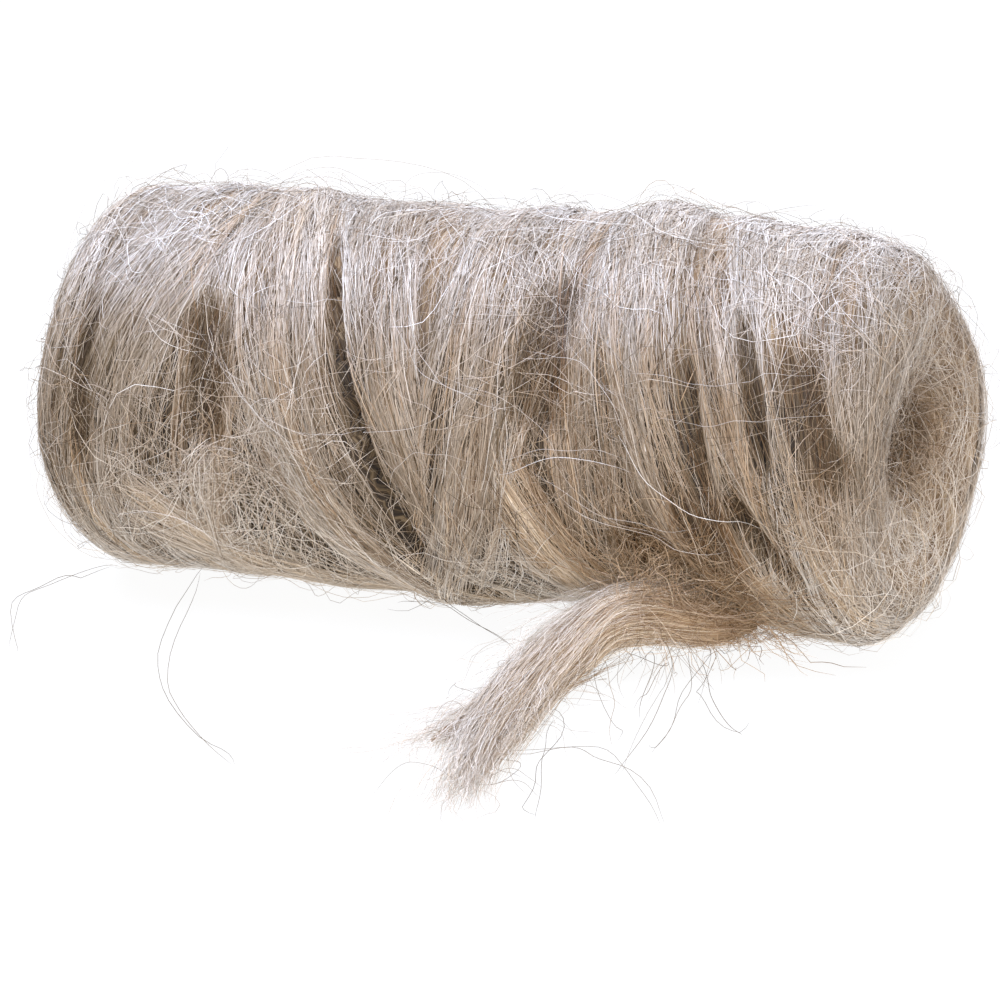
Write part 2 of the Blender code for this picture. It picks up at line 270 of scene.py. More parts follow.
# ---- How the fibres are laid ----
FILLING_COUNT = 2850
FILLING_SPARSE = 0.08       # share of it that stays on the strands' backs
FUZZ_COUNT = 2150
FUZZ_REACH = 16.0           # it goes on this far past the sides
END_COUNT = 1800            # at each end, like the next
STRUNG_COUNT = 110
LOOSE_COUNT = 1900
FRAY_COUNT = 330
FLUFF_COUNT = 620
FRAY_FLUFF_COUNT = 160
ROOT_COUNT = 800
CURL_COUNT = 100
BED_TURNS = 150             # points round the matted bed
BED_ROWS = 130              # and along it
BED_DEPTH = 0.5             # the matted bed lies this far under the strands' surface
COVER = 29.0                # millimetres of fibre for each square millimetre of strand
FIBRES_PER_LOCK = 24
LOCK_LENGTH = (28.0, 60.0)
LOCK_RADIUS = (0.8, 2.6)
HONEY_SHARE = 0.05          # share of the locks that are yellow,
HONEY_WARMTH = 0.72         # and how yellow
ASTRAY_SHARE = 0.27         # share of a lock's fibres that cross the others,
ASTRAY = 3.4                # how far they do, and how far the rest do
BESIDE = 0.8
STRAND_EDGE = 1.12          # fibres reach this share of a strand's half width
BURIED = 0.4                # a fibre this far under a crossing strand isn't laid
FIBRE_POINTS = 8
VALLEY_FILL = 0.75          # how much of a valley between strands is filled with criss-cross fibre
VALLEY_SHADE = 0.3          # how shady it is there, where a groove is 1
SHADY_DEPTH = 0.9           # this far below what is round it, a place is as shady as that
PAINTED_SHADE_WARMTH = 0.22         # painted shade: fibres in the grooves are painted this much yellower
HOLLOW_SHADE_START = 4.5    # this far in from a rim it gets shady
HOLLOW_SHADE_RUN = 11.0     # and over this distance fully so
FIBRE_TONES = (0.02, 0.97)  # the darkest and the lightest that a fibre gets
TONE_WAVE = 0.04            # how much lighter or darker it gets along its length
ODD_SHARE = 0.04            # share of fibres that are bleached, and of those that are dark,
ODD_TONE = 0.17             # by this much
WARMTH_SPREAD = 0.12
RUSTY_SHARE = 0.03          # share of fibres that are as yellow as can be
FACING_SPREAD = 0.3         # how much laid fibres are tilted against each other
CORE_REACH = 0.86           # how far along the loose end its matted core runs; only fibres go on
LOOSE_LENGTH = 75.0         # the loose end's, along its middle, about
LOOSE_GIRTH = 25.0          # and round it
LOOSE_SHADE_END = 0.34      # how far along it the roll's shade reaches
LEAST_HEIGHT = 0.1          # loose fibres keep this far above the floor,
LAID_HEIGHT = 0.12          # and laid ones this far
LEAST_RADIUS = 0.3          # and nothing on the roll comes nearer than this to its axis
FURTHEST_FRONT = -84.0      # no curl beside the loose end reaches past this
GOLDEN = 0.6180339887       # spreads locks evenly along a strand,
PLASTIC = 0.7548776662      # and across it


# ---- Curves and fields ----
def smooth(t):
    """Ease from 0 to 1."""
    t = np.clip(t, 0.0, 1.0)
    return t * t * (3.0 - 2.0 * t)


def through(values, t):
    """A smooth curve through evenly spaced values, at each t from 0 to 1."""
    values = np.asarray(values, float)
    last = len(values) - 1
    place = np.clip(t, 0.0, 1.0) * last
    i = np.minimum(place.astype(int), last - 1)
    f = place - i
    a = values[np.maximum(i - 1, 0)]
    b = values[i]
    c = values[i + 1]
    d = values[np.minimum(i + 2, last)]
    return 0.5 * (2 * b + (c - a) * f + (2 * a - 5 * b + 4 * c - d) * f ** 2
                  + (3 * b - a - 3 * c + d) * f ** 3)


def course_slope(band, t):
    """Millimetres along X for each millimetre round the roll, along a strand's or groove's course."""
    step = 0.02
    rise = through(band.course, t + step) - through(band.course, t - step)
    return rise / (2 * step * math.radians(band.end - band.start) * CORE_RADIUS)


def off_course(band, t, x):
    """How far a place along X lies to one side of a strand's or groove's course."""
    return (x - through(band.course, t)) / np.sqrt(1.0 + course_slope(band, t) ** 2)


def strand_dome(strand, t, share):
    """Height of a strand's rounded back at a place along it and a share of its half width."""
    span = strand.end - strand.start
    tuck = smooth(t * span / TUCK_ANGLE) * smooth((1.0 - t) * span / TUCK_ANGLE)
    dome = np.clip(1.0 - share ** 2, 0.0, 1.0) ** STRAND_FALL
    return through(strand.lift, t) * tuck * dome


def strand_height(strand, angle, x):
    """How far one strand stands above the core at angles round the roll and places along it."""
    height = np.zeros(np.broadcast(angle, x).shape)
    for turn in (-360.0, 0.0, 360.0):
        t = (angle + turn - strand.start) / (strand.end - strand.start)
        inside = (t > 0.0) & (t < 1.0)
        share = off_course(strand, t, x) / through(strand.half_width, t)
        height = np.maximum(height, np.where(inside, strand_dome(strand, t, share), 0.0))
    return height


def groove_share(groove, angle, x):
    """1 in the middle of a groove, falling to 0 at its edges and ends."""
    share = np.zeros(np.broadcast(angle, x).shape)
    for turn in (-360.0, 0.0):
        t = (angle + turn - groove.start) / (groove.end - groove.start)
        ends = smooth(t * 6.0) * smooth((1.0 - t) * 6.0)
        across = np.abs(off_course(groove, t, x)) / groove.half_width
        share = np.maximum(share, ends * smooth(1.4 - across))
    return share


def unevenness(angle, x):
    """Low waves in the winding, so that no stretch of it is quite round."""
    turn = np.radians(angle)
    wave = np.sin(3 * turn + 0.16 * x) * np.cos(0.23 * x - 2 * turn)
    return SURFACE_WAVE * (wave + 0.6 * np.sin(5 * turn - 0.31 * x))


class Surface:
    """The strands' surface, worked out once on a grid of angles round the roll and places along it."""

    STEP = 0.5

    def __init__(self):
        self.places = np.arange(LEFT_END - 2.0, RIGHT_END + 2.5, self.STEP)
        # The strands and the matting over the top, blended where they meet
        angle, x = np.meshgrid(np.arange(0.0, 360.5, 1.0), self.places, indexing="ij")
        each = np.stack([strand_height(strand, angle, x) for strand in STRANDS])
        self.top = each.argmax(axis=0)
        from_top = np.abs((angle - MATTING_MIDDLE + 180.0) % 360.0 - 180.0)
        matting = MATTING * smooth(1.6 * (1.0 - from_top / MATTING_HALF_ANGLE))
        self.matting = matting * smooth((RIGHT_END - np.abs(x)) / MATTING_FADE)
        total = (each ** CREST_POWER).sum(axis=0) + self.matting ** CREST_POWER
        self.crest = total ** (1.0 / CREST_POWER)
        foot = FOOT_SWELL * smooth(1.0 - np.abs(angle - 180.0) / FOOT_HALF_ANGLE)
        self.height = np.maximum(self.crest, foot) + unevenness(angle, x)
        self.height = self.height + VALLEY_FILL * np.maximum(self.around() - self.height, 0.0)
        # The grooves, and how shady it is in them and in the valleys
        self.gap = np.zeros(angle.shape)
        shade = np.zeros(angle.shape)
        for groove in GROOVES:
            share = groove_share(groove, angle, x)
            self.height = self.height - groove.depth * share
            self.gap = np.maximum(self.gap, groove.gap * share)
            shade = np.maximum(shade, share)
        sunken = np.clip((self.around() - self.height) / SHADY_DEPTH, 0.0, 1.0)
        self.shade = np.maximum(shade, VALLEY_SHADE * sunken)

    def around(self):
        """The mean height round each place."""
        around = self.height[:-1]
        for shift in (1, 2, 4):
            around = (around + np.roll(around, shift, 0) + np.roll(around, -shift, 0)) / 3.0
            wide = np.pad(around, ((0, 0), (2 * shift, 2 * shift)), mode="edge")
            around = (wide[:, 2 * shift:-2 * shift] + wide[:, :-4 * shift] + wide[:, 4 * shift:]) / 3.0
        return np.vstack([around, around[:1]])

    def read(self, grid, angle, x):
        """A grid's value between its points."""
        a = np.mod(angle, 360.0)
        b = np.clip((x - self.places[0]) / self.STEP, 0.0, len(self.places) - 1.001)
        i = a.astype(int)
        j = b.astype(int)
        u = a - i
        v = b - j
        low = grid[i, j] * (1 - v) + grid[i, j + 1] * v
        high = grid[i + 1, j] * (1 - v) + grid[i + 1, j + 1] * v
        return low * (1 - u) + high * u

    def strand_at(self, angle, x):
        """Which strand lies on top."""
        i = np.mod(angle, 360.0).astype(int)
        j = np.clip((x - self.places[0]) / self.STEP, 0, len(self.places) - 1).astype(int)
        return self.top[i, j]


SURFACE = Surface()


def core_outline():
    """The core's outline from hollow to hollow, by distance along it; on the side that is x itself.

    Columns: distance, x, radius, outward x, outward radius, share of the strands, share of the hollow.
    """
    rows = []
    quarter = np.linspace(0.0, 1.0, 13)
    for part in quarter:
        turn = part * math.pi / 2
        rows.append((RIGHT_SIDE + CORNER * math.sin(turn), CORE_RADIUS - CORNER + CORNER * math.cos(turn),
                     math.sin(turn), math.cos(turn), 1.0 - (1.0 - RIM_SHARE) * part, 0.0))
    for part in quarter[1:]:
        turn = part * math.pi / 2
        out = (DISH_WIDTH * math.cos(turn), DISH_DEPTH * math.sin(turn))
        length = math.hypot(*out)
        rows.append((RIGHT_END - DISH_DEPTH * (1.0 - math.cos(turn)),
                     HOLLOW_RADIUS + DISH_WIDTH * (1.0 - math.sin(turn)),
                     out[0] / length, -out[1] / length, RIM_SHARE * (1.0 - part), part))
    wall = HOLLOW_DEPTH - DISH_DEPTH
    for part in np.linspace(0.1, 1.0, 10):
        radius = HOLLOW_RADIUS * (HOLLOW_TAPER + (1.0 - HOLLOW_TAPER) * (1.0 - part) ** 0.8)
        rows.append((RIGHT_END - DISH_DEPTH - wall * part, radius, 0.0, -1.0, 0.0, 1.0))
    rows = np.array(rows)
    steps = np.hypot(np.diff(rows[:, 0]), np.diff(rows[:, 1]))
    distance = RIGHT_SIDE + np.concatenate([[0.0], np.cumsum(steps)])
    right = np.column_stack([distance, rows])
    left = right[::-1].copy()
    shift = LEFT_END + RIGHT_END
    left[:, 0] = shift - left[:, 0]
    left[:, 1] = shift - left[:, 1]
    left[:, 3] *= -1.0
    return np.vstack([left, right])


OUTLINE = core_outline()


def end_lean(angle, x):
    """How far the ends, which aren't square, reach or fall short along X at each angle."""
    turn = np.radians(angle)
    left = np.cos(turn - math.radians(LEFT_LEAN_ANGLE)) + 0.5 * np.sin(3 * turn)
    right = through(RIGHT_LEAN, np.mod(angle, 360.0) / 360.0)
    return (left * smooth((x - LEFT_LEAN_START) / (LEFT_END - LEFT_LEAN_START))
            + right * smooth((x - RIGHT_LEAN_START) / (RIGHT_END - RIGHT_LEAN_START)))


def on_roll(angle, along, lift, floor=0.0):
    """Points at angles round the roll and distances along its outline, lifted off its surface."""
    column = [np.interp(along, OUTLINE[:, 0], OUTLINE[:, k]) for k in range(1, 7)]
    x, radius, out_x, out_r, strand_share, hollow_share = column
    height = SURFACE.read(SURFACE.height, angle, x) * strand_share + lift
    radius = np.maximum(radius + out_r * height, LEAST_RADIUS)
    turn = np.radians(angle)
    y = -radius * np.sin(turn) - HOLLOW_FORWARD * hollow_share
    z = AXIS_HEIGHT + radius * np.cos(turn)
    px = x + out_x * height + end_lean(angle, x)
    return np.stack([px, y, np.maximum(z, floor)], axis=-1)


# ---- Fibre paths ----
# points and facing, the way each point's outer side looks, are counts of fibres by points by 3; tone is
# how light each point is; warmth and thickness are one for each fibre.
Fibres = namedtuple("Fibres", "points facing tone warmth thickness")


def waves(rng, count, t, cycles):
    """A smooth random wave for each of count fibres, from about -1 to 1, read at t."""
    total = np.zeros((count, t.shape[-1]))
    for k, share in ((1.0, 0.6), (2.3, 0.4)):
        phase = rng.uniform(0.0, 2 * math.pi, (count, 1))
        rate = cycles * k * rng.uniform(0.7, 1.3, (count, 1))
        total += share * np.sin(2 * math.pi * rate * t + phase)
    return total


def each_tone(rng, count, middle, spread):
    """How light each fibre is: most are alike, and a few are bleached or dark."""
    tone = rng.normal(middle, spread, count)
    odd = rng.random(count)
    tone[odd < ODD_SHARE] += ODD_TONE
    tone[odd > 1.0 - ODD_SHARE] -= ODD_TONE
    return tone


def each_warmth(rng, count, middle):
    """How yellow each fibre is, with a few rusty ones among them."""
    warmth = rng.normal(middle, WARMTH_SPREAD, count)
    warmth[rng.random(count) < RUSTY_SHARE] = 1.0
    return np.clip(warmth, 0.0, 1.0)


def each_look(rng, count, kind):
    """Tone, warmth and thickness of each fibre of a kind."""
    return (each_tone(rng, count, kind.tone, kind.spread), each_warmth(rng, count, kind.warmth),
            rng.uniform(kind.thinnest, kind.thickest, count))


def columns_of(table, copies):
    """Each column of a table as an array, with every row repeated."""
    return {key: np.repeat([getattr(row, key) for row in table], copies) for key in table[0]._fields}


def steps(points=FIBRE_POINTS):
    """How far each of a fibre's points is along it, from 0 to 1."""
    return np.linspace(0.0, 1.0, points)[None, :]


def walk(x, y, turn, piece):
    """Paths over the floor from start places, with a heading for each step and the length of one."""
    return (x[:, None] + np.cumsum(np.cos(turn) * piece, axis=1),
            y[:, None] + np.cumsum(np.sin(turn) * piece, axis=1))


def wobble(rng, count, step, cycles):
    """A smooth random wave along each of the three axes."""
    return np.stack([waves(rng, count, step, cycles) for _ in range(3)], axis=-1)


def laid(rng, angle, along, lift, tone, warmth, thickness, shaded):
    """Fibres on the roll's surface, each tilted a little, painted darker in shade and with painted light
    round it.
    """
    points = on_roll(angle, along, lift, LAID_HEIGHT)
    facing = on_roll(angle, along, lift + 1.0) - points
    facing += rng.normal(0.0, FACING_SPREAD, (len(points), 1, 3))
    x = np.interp(along, OUTLINE[:, 0], OUTLINE[:, 1])
    inner = smooth((np.abs(along - MIDDLE) - RIM_REACH - HOLLOW_SHADE_START) / HOLLOW_SHADE_RUN)
    shade = np.maximum(SURFACE.read(SURFACE.shade, angle, x), inner)
    step = steps(points.shape[1])
    tone = tone[:, None] - shaded * shade + TONE_WAVE * waves(rng, len(points), step, 1.5)
    middle = np.mod(angle.mean(axis=1), 360.0)
    # Painted light and shade round the roll, in tone and in warmth.
    tone += through(PAINTED_LIGHT_ROUND_TONE, middle / 360.0)[:, None]
    # Painted shade is painted yellower as well.
    warmth = warmth + through(PAINTED_LIGHT_ROUND_WARMTH, middle / 360.0) + PAINTED_SHADE_WARMTH * shade.mean(axis=1)
    return Fibres(points, facing, np.clip(tone, *FIBRE_TONES), np.clip(warmth, 0.0, 1.0), thickness)


def hanging(points, tone, warmth, thickness, facing=(0.0, 0.3, 1.0)):
    """Fibres that don't lie on the roll, each of one tone and facing one way all along."""
    tone = np.repeat(tone[:, None], points.shape[1], axis=1)
    facing = np.broadcast_to(np.array(facing), points.shape)
    return Fibres(points, facing, np.clip(tone, *FIBRE_TONES), np.clip(warmth, 0.0, 1.0), thickness)


def strand_locks(rng, strand):
    """A strand's locks, with each one's values repeated in a column for its fibres.

    Middle and half are shares of the strand's length: where along it a lock lies, and how far each way it
    reaches. Side and drift are shares of its half width: how far to one side the lock lies, and how far
    over it moves on its way.
    """
    t = np.linspace(0.0, 1.0, 60)
    span = math.radians(strand.end - strand.start)
    length = span * CORE_RADIUS * float(np.sqrt(1.0 + course_slope(strand, t) ** 2).mean())
    area = length * 2.0 * float(through(strand.half_width, t).mean())
    locks = int(area * COVER / (0.5 * sum(LOCK_LENGTH)) / FIBRES_PER_LOCK)
    number = np.arange(locks)
    made = {"middle": np.mod(number * GOLDEN + rng.uniform(0, 1), 1.0),
            "side": 2.0 * np.mod(number * PLASTIC + 0.5, 1.0) - 1.0,
            "half": 0.5 * rng.uniform(*LOCK_LENGTH, locks) / length,
            "radius": rng.uniform(*LOCK_RADIUS, locks),
            "drift": rng.normal(0.0, 0.16, locks),
            "lift": rng.uniform(0.0, 0.3, locks),
            "tone": rng.normal(0.0, 0.05, locks),
            "warmth": rng.normal(strand.warmth - 0.17, 0.2, locks)}
    made["warmth"][rng.random(locks) < HONEY_SHARE] = HONEY_WARMTH
    return {key: np.repeat(values, FIBRES_PER_LOCK)[:, None] for key, values in made.items()}


def strand_fibres(strand, seed):
    """Fibres of one strand, gathered in locks that start and end all along it."""
    rng = np.random.default_rng(seed)
    lock = strand_locks(rng, strand)
    fibres = len(lock["half"])
    step = np.linspace(-1.0, 1.0, FIBRE_POINTS)[None, :]
    # A lock is pinched together at its middle, and its fibres splay and cross towards its ends.
    own_half = lock["half"] * rng.uniform(0.55, 1.1, (fibres, 1))
    own_middle = lock["middle"] + rng.normal(0.0, 0.25, (fibres, 1)) * lock["half"]
    t = own_middle + own_half * step
    in_lock = (t - lock["middle"]) / lock["half"]
    spread = 0.6 + 0.4 * np.clip(np.abs(in_lock), 0.0, 1.3) ** 2
    sideways = rng.normal(0.0, 0.6, (fibres, 1)) * lock["radius"] * spread
    astray = np.where(rng.random(fibres) < ASTRAY_SHARE, ASTRAY, BESIDE) * rng.normal(0.0, 1.0, fibres)
    sideways += astray[:, None] * in_lock + 0.65 * waves(rng, fibres, step * 0.5, 1.4)
    half_width = through(strand.half_width, t)
    place = 0.97 * lock["side"] + lock["drift"] * in_lock + sideways / half_width
    place = np.clip(place, -STRAND_EDGE, STRAND_EDGE)
    x = through(strand.course, t) + place * half_width * np.sqrt(1.0 + course_slope(strand, t) ** 2)
    angle = strand.start + t * (strand.end - strand.start)
    # A fibre is seen where no other strand covers its own, and where no groove's gap swallows it.
    own = np.maximum(strand_dome(strand, t, place), SURFACE.read(SURFACE.matting, angle, x))
    over = SURFACE.read(SURFACE.crest, angle, x) - own
    open_gap = SURFACE.read(SURFACE.gap, angle, x) > rng.random(fibres)[:, None] * 0.8 + 0.1
    seen = (over < BURIED) & ~open_gap & (t > 0.0) & (t < 1.0)
    # It dips in at both ends, but a few lift one end off the roll.
    lift = lock["lift"] * (1.0 - 0.6 * np.abs(in_lock).clip(0, 1) ** 2)
    lift += np.abs(rng.normal(0.0, 0.14, fibres))[:, None] - 0.14
    lift -= 0.4 * np.abs(step) ** 8
    loose = (rng.random(fibres) < 0.05)[:, None]
    lift += loose * rng.uniform(0.3, 1.6, fibres)[:, None] * np.clip(step, 0.0, 1.0) ** 2
    keep, angle, x, lift = longest_seen(seen, angle, x, lift)
    tone, warmth, thickness = each_look(rng, fibres, LAID)
    tone += lock["tone"][:, 0]
    warmth = np.clip(0.5 * warmth + lock["warmth"][:, 0], 0.0, 1.0)
    return laid(rng, angle, x, lift, tone[keep], warmth[keep], thickness[keep], LAID.shaded)


def longest_seen(seen, *tracks):
    """Cuts each fibre to its longest stretch in sight and spreads its points over that again."""
    count, points = seen.shape
    best_start = np.zeros(count, int)
    best_length = np.zeros(count, int)
    run = np.zeros(count, int)
    for i in range(points):
        run = np.where(seen[:, i], run + 1, 0)
        better = run > best_length
        best_length = np.where(better, run, best_length)
        best_start = np.where(better, i - run + 1, best_start)
    keep = best_length >= 3
    start = np.maximum(best_start[keep] - 0.6, 0.0)[:, None]
    end = np.minimum(best_start[keep] + best_length[keep] - 0.4, points - 1.0)[:, None]
    place = start + (end - start) * np.linspace(0.0, 1.0, points)[None, :]
    i = np.minimum(place.astype(int), points - 2)
    f = place - i
    row = np.arange(len(i))[:, None]
    cut = []
    for track in tracks:
        track = track[keep]
        cut.append(track[row, i] * (1.0 - f) + track[row, i + 1] * f)
    return (keep, *cut)


def wandering(rng, angle, along, heading, length, curl, spin, points):
    """Paths over the roll from start places, with headings in degrees from the way round.

    Curl is how far a path snakes and spin how far it turns from end to end, both in degrees.
    """
    count = len(angle)
    step = steps(points)
    snake = np.reshape(curl, (-1, 1)) * waves(rng, count, step, 0.8)
    turn = np.radians(heading[:, None] + snake + np.reshape(spin, (-1, 1)) * (step - 0.5))
    piece = length[:, None] / (points - 1)
    radius = np.interp(along, OUTLINE[:, 0], OUTLINE[:, 2])[:, None].clip(6.0)
    round_step = np.cos(turn) * piece
    along_step = np.sin(turn) * piece
    angles = angle[:, None] + np.degrees(np.cumsum(round_step, axis=1) - round_step) / radius
    alongs = along[:, None] + np.cumsum(along_step, axis=1) - along_step
    return angles, alongs, step


def filling_fibres(seed, count, sparse):
    """Criss-cross fibres in the low places between the strands, and a few over them."""
    rng = np.random.default_rng(seed)
    tries = count * 4
    angle = rng.uniform(0.0, 360.0, tries)
    along = rng.uniform(LEFT_SIDE, RIGHT_SIDE, tries)
    low = SURFACE.read(SURFACE.crest, angle, along)
    matting = SURFACE.read(SURFACE.matting, angle, along)
    gap = SURFACE.read(SURFACE.gap, angle, along)
    low = np.where(low < matting + 0.3, 0.6, low)
    wanted = rng.random(tries) < np.clip(1.15 - low / 2.0, sparse, 1.0) * (1.0 - gap)
    angle = angle[wanted][:count]
    along = along[wanted][:count]
    count = len(angle)
    heading = rng.choice([-1.0, 1.0], count) * np.abs(rng.normal(12.0, 18.0, count))
    heading += 180.0 * (rng.random(count) < 0.5)
    length = rng.uniform(14.0, 34.0, count)
    curl = rng.uniform(4.0, 30.0, count)
    spin = rng.normal(0.0, 20.0, count)
    angles, alongs, step = wandering(rng, angle, along, heading, length, curl, spin, FIBRE_POINTS)
    lift = rng.uniform(-0.25, 0.3, count)[:, None] - 0.5 * np.abs(2 * step - 1) ** 6
    return laid(rng, angles, alongs, lift, *each_look(rng, count, FILLING), FILLING.shaded)


def tangle_fibres(seed):
    """Short fibres curled over each other in the matted patches."""
    rng = np.random.default_rng(seed)
    sizes = [tangle.count for tangle in TANGLES]
    count = sum(sizes)
    column = columns_of(TANGLES, sizes)
    angle = column["angle"] + column["half_angle"] * 0.55 * rng.normal(0.0, 1.0, count)
    along = column["x"] + column["half_width"] * 0.55 * rng.normal(0.0, 1.0, count)
    heading = rng.uniform(0.0, 360.0, count)
    length = rng.triangular(5.0, 10.0, 28.0, count)
    spin = rng.normal(0.0, 75.0, count)
    angles, alongs, step = wandering(rng, angle, along, heading, length, 25.0, spin, FIBRE_POINTS)
    high = 0.1 + 0.9 * rng.random(count)[:, None] ** 1.6
    lift = high * (0.45 + 0.55 * waves(rng, count, step, 0.9)) + 0.1
    tone, warmth, thickness = each_look(rng, count, TANGLED)
    tone += column["tone"]
    warmth = 0.6 * warmth + 0.6 * column["warmth"]
    return laid(rng, angles, alongs, lift, tone, warmth, thickness, TANGLED.shaded)


def fuzz_fibres(seed, count):
    """Short thin broken fibres that lie every way over the whole roll."""
    rng = np.random.default_rng(seed)
    angle = rng.uniform(0.0, 360.0, count)
    along = rng.uniform(LEFT_SIDE - FUZZ_REACH, RIGHT_SIDE + FUZZ_REACH, count)
    heading = rng.normal(0.0, 55.0, count) + 180.0 * (rng.random(count) < 0.5)
    length = rng.triangular(3.0, 7.0, 24.0, count)
    spin = rng.normal(0.0, 55.0, count)
    angles, alongs, step = wandering(rng, angle, along, heading, length, 22.0, spin, FIBRE_POINTS)
    high = 0.15 + 0.7 * rng.random(count)[:, None] ** 2
    lift = high * (0.7 + 0.3 * waves(rng, count, step, 0.9)) + 0.05
    return laid(rng, angles, alongs, lift, *each_look(rng, count, FUZZ), FUZZ.shaded)


def end_fibres(seed, count, way):
    """Fibres that bend round the rim and circle the hollow at one end."""
    rng = np.random.default_rng(seed)
    reach = rng.triangular(-2.0, 14.0, 42.0, count)
    angle = rng.uniform(0.0, 360.0, count)
    inwards = rng.random(count) < 0.25
    heading = rng.normal(0.0, 24.0, count) + 180.0 * (rng.random(count) < 0.5) + 70.0 * inwards
    length = rng.uniform(9.0, 30.0, count) * np.interp(reach, (0, 20, 40), (1.0, 0.8, 0.45))
    curl = rng.uniform(8.0, 45.0, count)
    spin = rng.normal(0.0, 50.0, count)
    along = SIDES[way] + way * reach
    angles, alongs, step = wandering(rng, angle, along, heading, length, curl, spin, FIBRE_POINTS)
    lift = rng.uniform(-0.2, 0.7, count)[:, None] - 0.5 * np.abs(2 * step - 1) ** 6
    lift += (inwards * rng.uniform(0.0, 2.2, count))[:, None] * np.sin(math.pi * step)
    return laid(rng, angles, alongs, lift, *each_look(rng, count, END), END.shaded)


def hollow_strays(seed, count, way):
    """Loose fibres strung across the hollow from wall to wall."""
    rng = np.random.default_rng(seed)
    start = rng.uniform(0.0, 360.0, count)
    across = start + rng.uniform(70.0, 200.0, count)
    reach = rng.uniform(17.0, 34.0, (2, count))
    sunk = np.full(count, -0.2)
    first = on_roll(start, SIDES[way] + way * reach[0], sunk)
    last = on_roll(across, SIDES[way] + way * reach[1], sunk)
    step = steps()[..., None]
    points = first[:, None] * (1 - step) + last[:, None] * step
    bow = rng.normal(0.0, 2.2, (count, 1, 3))
    points = points + bow * np.sin(math.pi * step) * np.array([0.7, 1.0, 1.0])
    points += 0.5 * wobble(rng, count, steps(), 1.2)
    return hanging(points, *each_look(rng, count, STRUNG))


def flyaway_fibres(seed, hairs, reach):
    """Fine hairs that stand off the roll in low arches, some with a free end, all along a reach of it."""
    rng = np.random.default_rng(seed + hairs.seed)
    count = hairs.count
    angle = rng.uniform(*hairs.angles, count)
    along = rng.uniform(*reach, count)
    heading = rng.uniform(0.0, 360.0, count)
    curl = rng.uniform(10.0, 60.0, count)
    spin = rng.normal(0.0, 70.0, count)
    length = rng.uniform(*hairs.lengths, count)
    angles, alongs, step = wandering(rng, angle, along, heading, length, curl, spin, hairs.points)
    peak = hairs.height * rng.random(count)[:, None] ** 1.6
    free = (rng.random(count) < 0.45)[:, None]
    arch = np.where(free, smooth(step), np.sin(math.pi * step) ** 0.8)
    lift = 0.2 + peak * arch + 0.12 * waves(rng, count, step, 2.0)
    kind = FLYAWAY._replace(tone=hairs.tone)
    return laid(rng, angles, alongs, lift, *each_look(rng, count, kind), kind.shaded)


def stray_fibres(seed):
    """The long hairs of the table, each with a thinner one that runs near it."""
    rng = np.random.default_rng(seed)
    points = 22
    step = steps(points)
    copies = 2
    column = {key: values[:, None] for key, values in columns_of(STRAYS, copies).items()}
    count = len(STRAYS) * copies
    first = np.arange(count)[:, None] % copies == 0
    shift = np.where(first, 0.0, rng.normal(0.0, 7.0, (count, 1)))
    angle = column["angle"] + (column["end_angle"] - column["angle"]) * step + shift
    along = column["x"] + (column["end_x"] - column["x"]) * step + shift * rng.normal(0.0, 1.5, (count, 1))
    slope = np.radians(column["end_angle"] - column["angle"]) * CORE_RADIUS
    run = column["end_x"] - column["x"]
    length = np.hypot(slope, run)
    bow = column["bow"] * np.sin(math.pi * step) + 0.45 * waves(rng, count, step, 1.1)
    angle = angle + np.degrees(bow * run / length / CORE_RADIUS)
    along = along - bow * slope / length
    lift = 0.3 + column["lift"] * np.sin(math.pi * step) ** 0.7
    return laid(rng, angle, along, lift, each_tone(rng, count, 0.78, 0.06), each_warmth(rng, count, 0.1),
                np.where(first[:, 0], 0.95, 0.65), 0.0)


def floor_hairs(seed):
    """The long hairs of the table, each with another that keeps near it."""
    rng = np.random.default_rng(seed)
    points = 20
    step = np.linspace(0.0, 1.0, points)
    rows = []
    for hair in FLOOR_HAIRS:
        x = through((hair.x, hair.bend_x, hair.end_x), step)
        y = through((hair.y, hair.bend_y, hair.end_y), step)
        rows.append(np.stack([x, y, LEAST_HEIGHT + hair.rise * np.sin(math.pi * step)], axis=-1))
    made = np.repeat(np.stack(rows), 2, axis=0)
    count = len(made)
    stray = np.where(np.arange(count) % 2 == 0, 0.5, 2.2)[:, None, None]
    made = kept_clear(made + stray * wobble(rng, count, step[None, :], 0.9), 0.2)
    return hanging(made, *each_look(rng, count, TRAILING))


# ---- The loose end ----
def along_sections(sections, t):
    """Each column of the loose end's sections at each t, and the unit way across it."""
    columns = [through(column, t) for column in zip(*sections)]
    near = np.clip(t, 0.01, 0.99)
    ahead = [through(column, near + 0.01) - through(column, near - 0.01)
             for column in list(zip(*sections))[:2]]
    length = np.hypot(ahead[0], ahead[1])
    return columns, (-ahead[1] / length, ahead[0] / length)


def clear_of_roll(points, gap):
    """Points in front of the roll, moved straight out from its axis where they're within the gap."""
    height = points[..., 2] - AXIS_HEIGHT
    from_axis = np.hypot(points[..., 1], height)
    angle = np.degrees(np.arctan2(-points[..., 1], height))
    nearest = CORE_RADIUS + SURFACE.read(SURFACE.height, angle, points[..., 0]) + gap
    stretch = np.maximum(nearest / from_axis, 1.0)
    moved = points.copy()
    moved[..., 1] *= stretch
    moved[..., 2] = AXIS_HEIGHT + height * stretch
    return moved


def kept_clear(points, gap):
    """Points kept clear of the roll and just above the floor."""
    moved = clear_of_roll(points, gap)
    moved[..., 2] = np.maximum(moved[..., 2], LEAST_HEIGHT)
    return moved


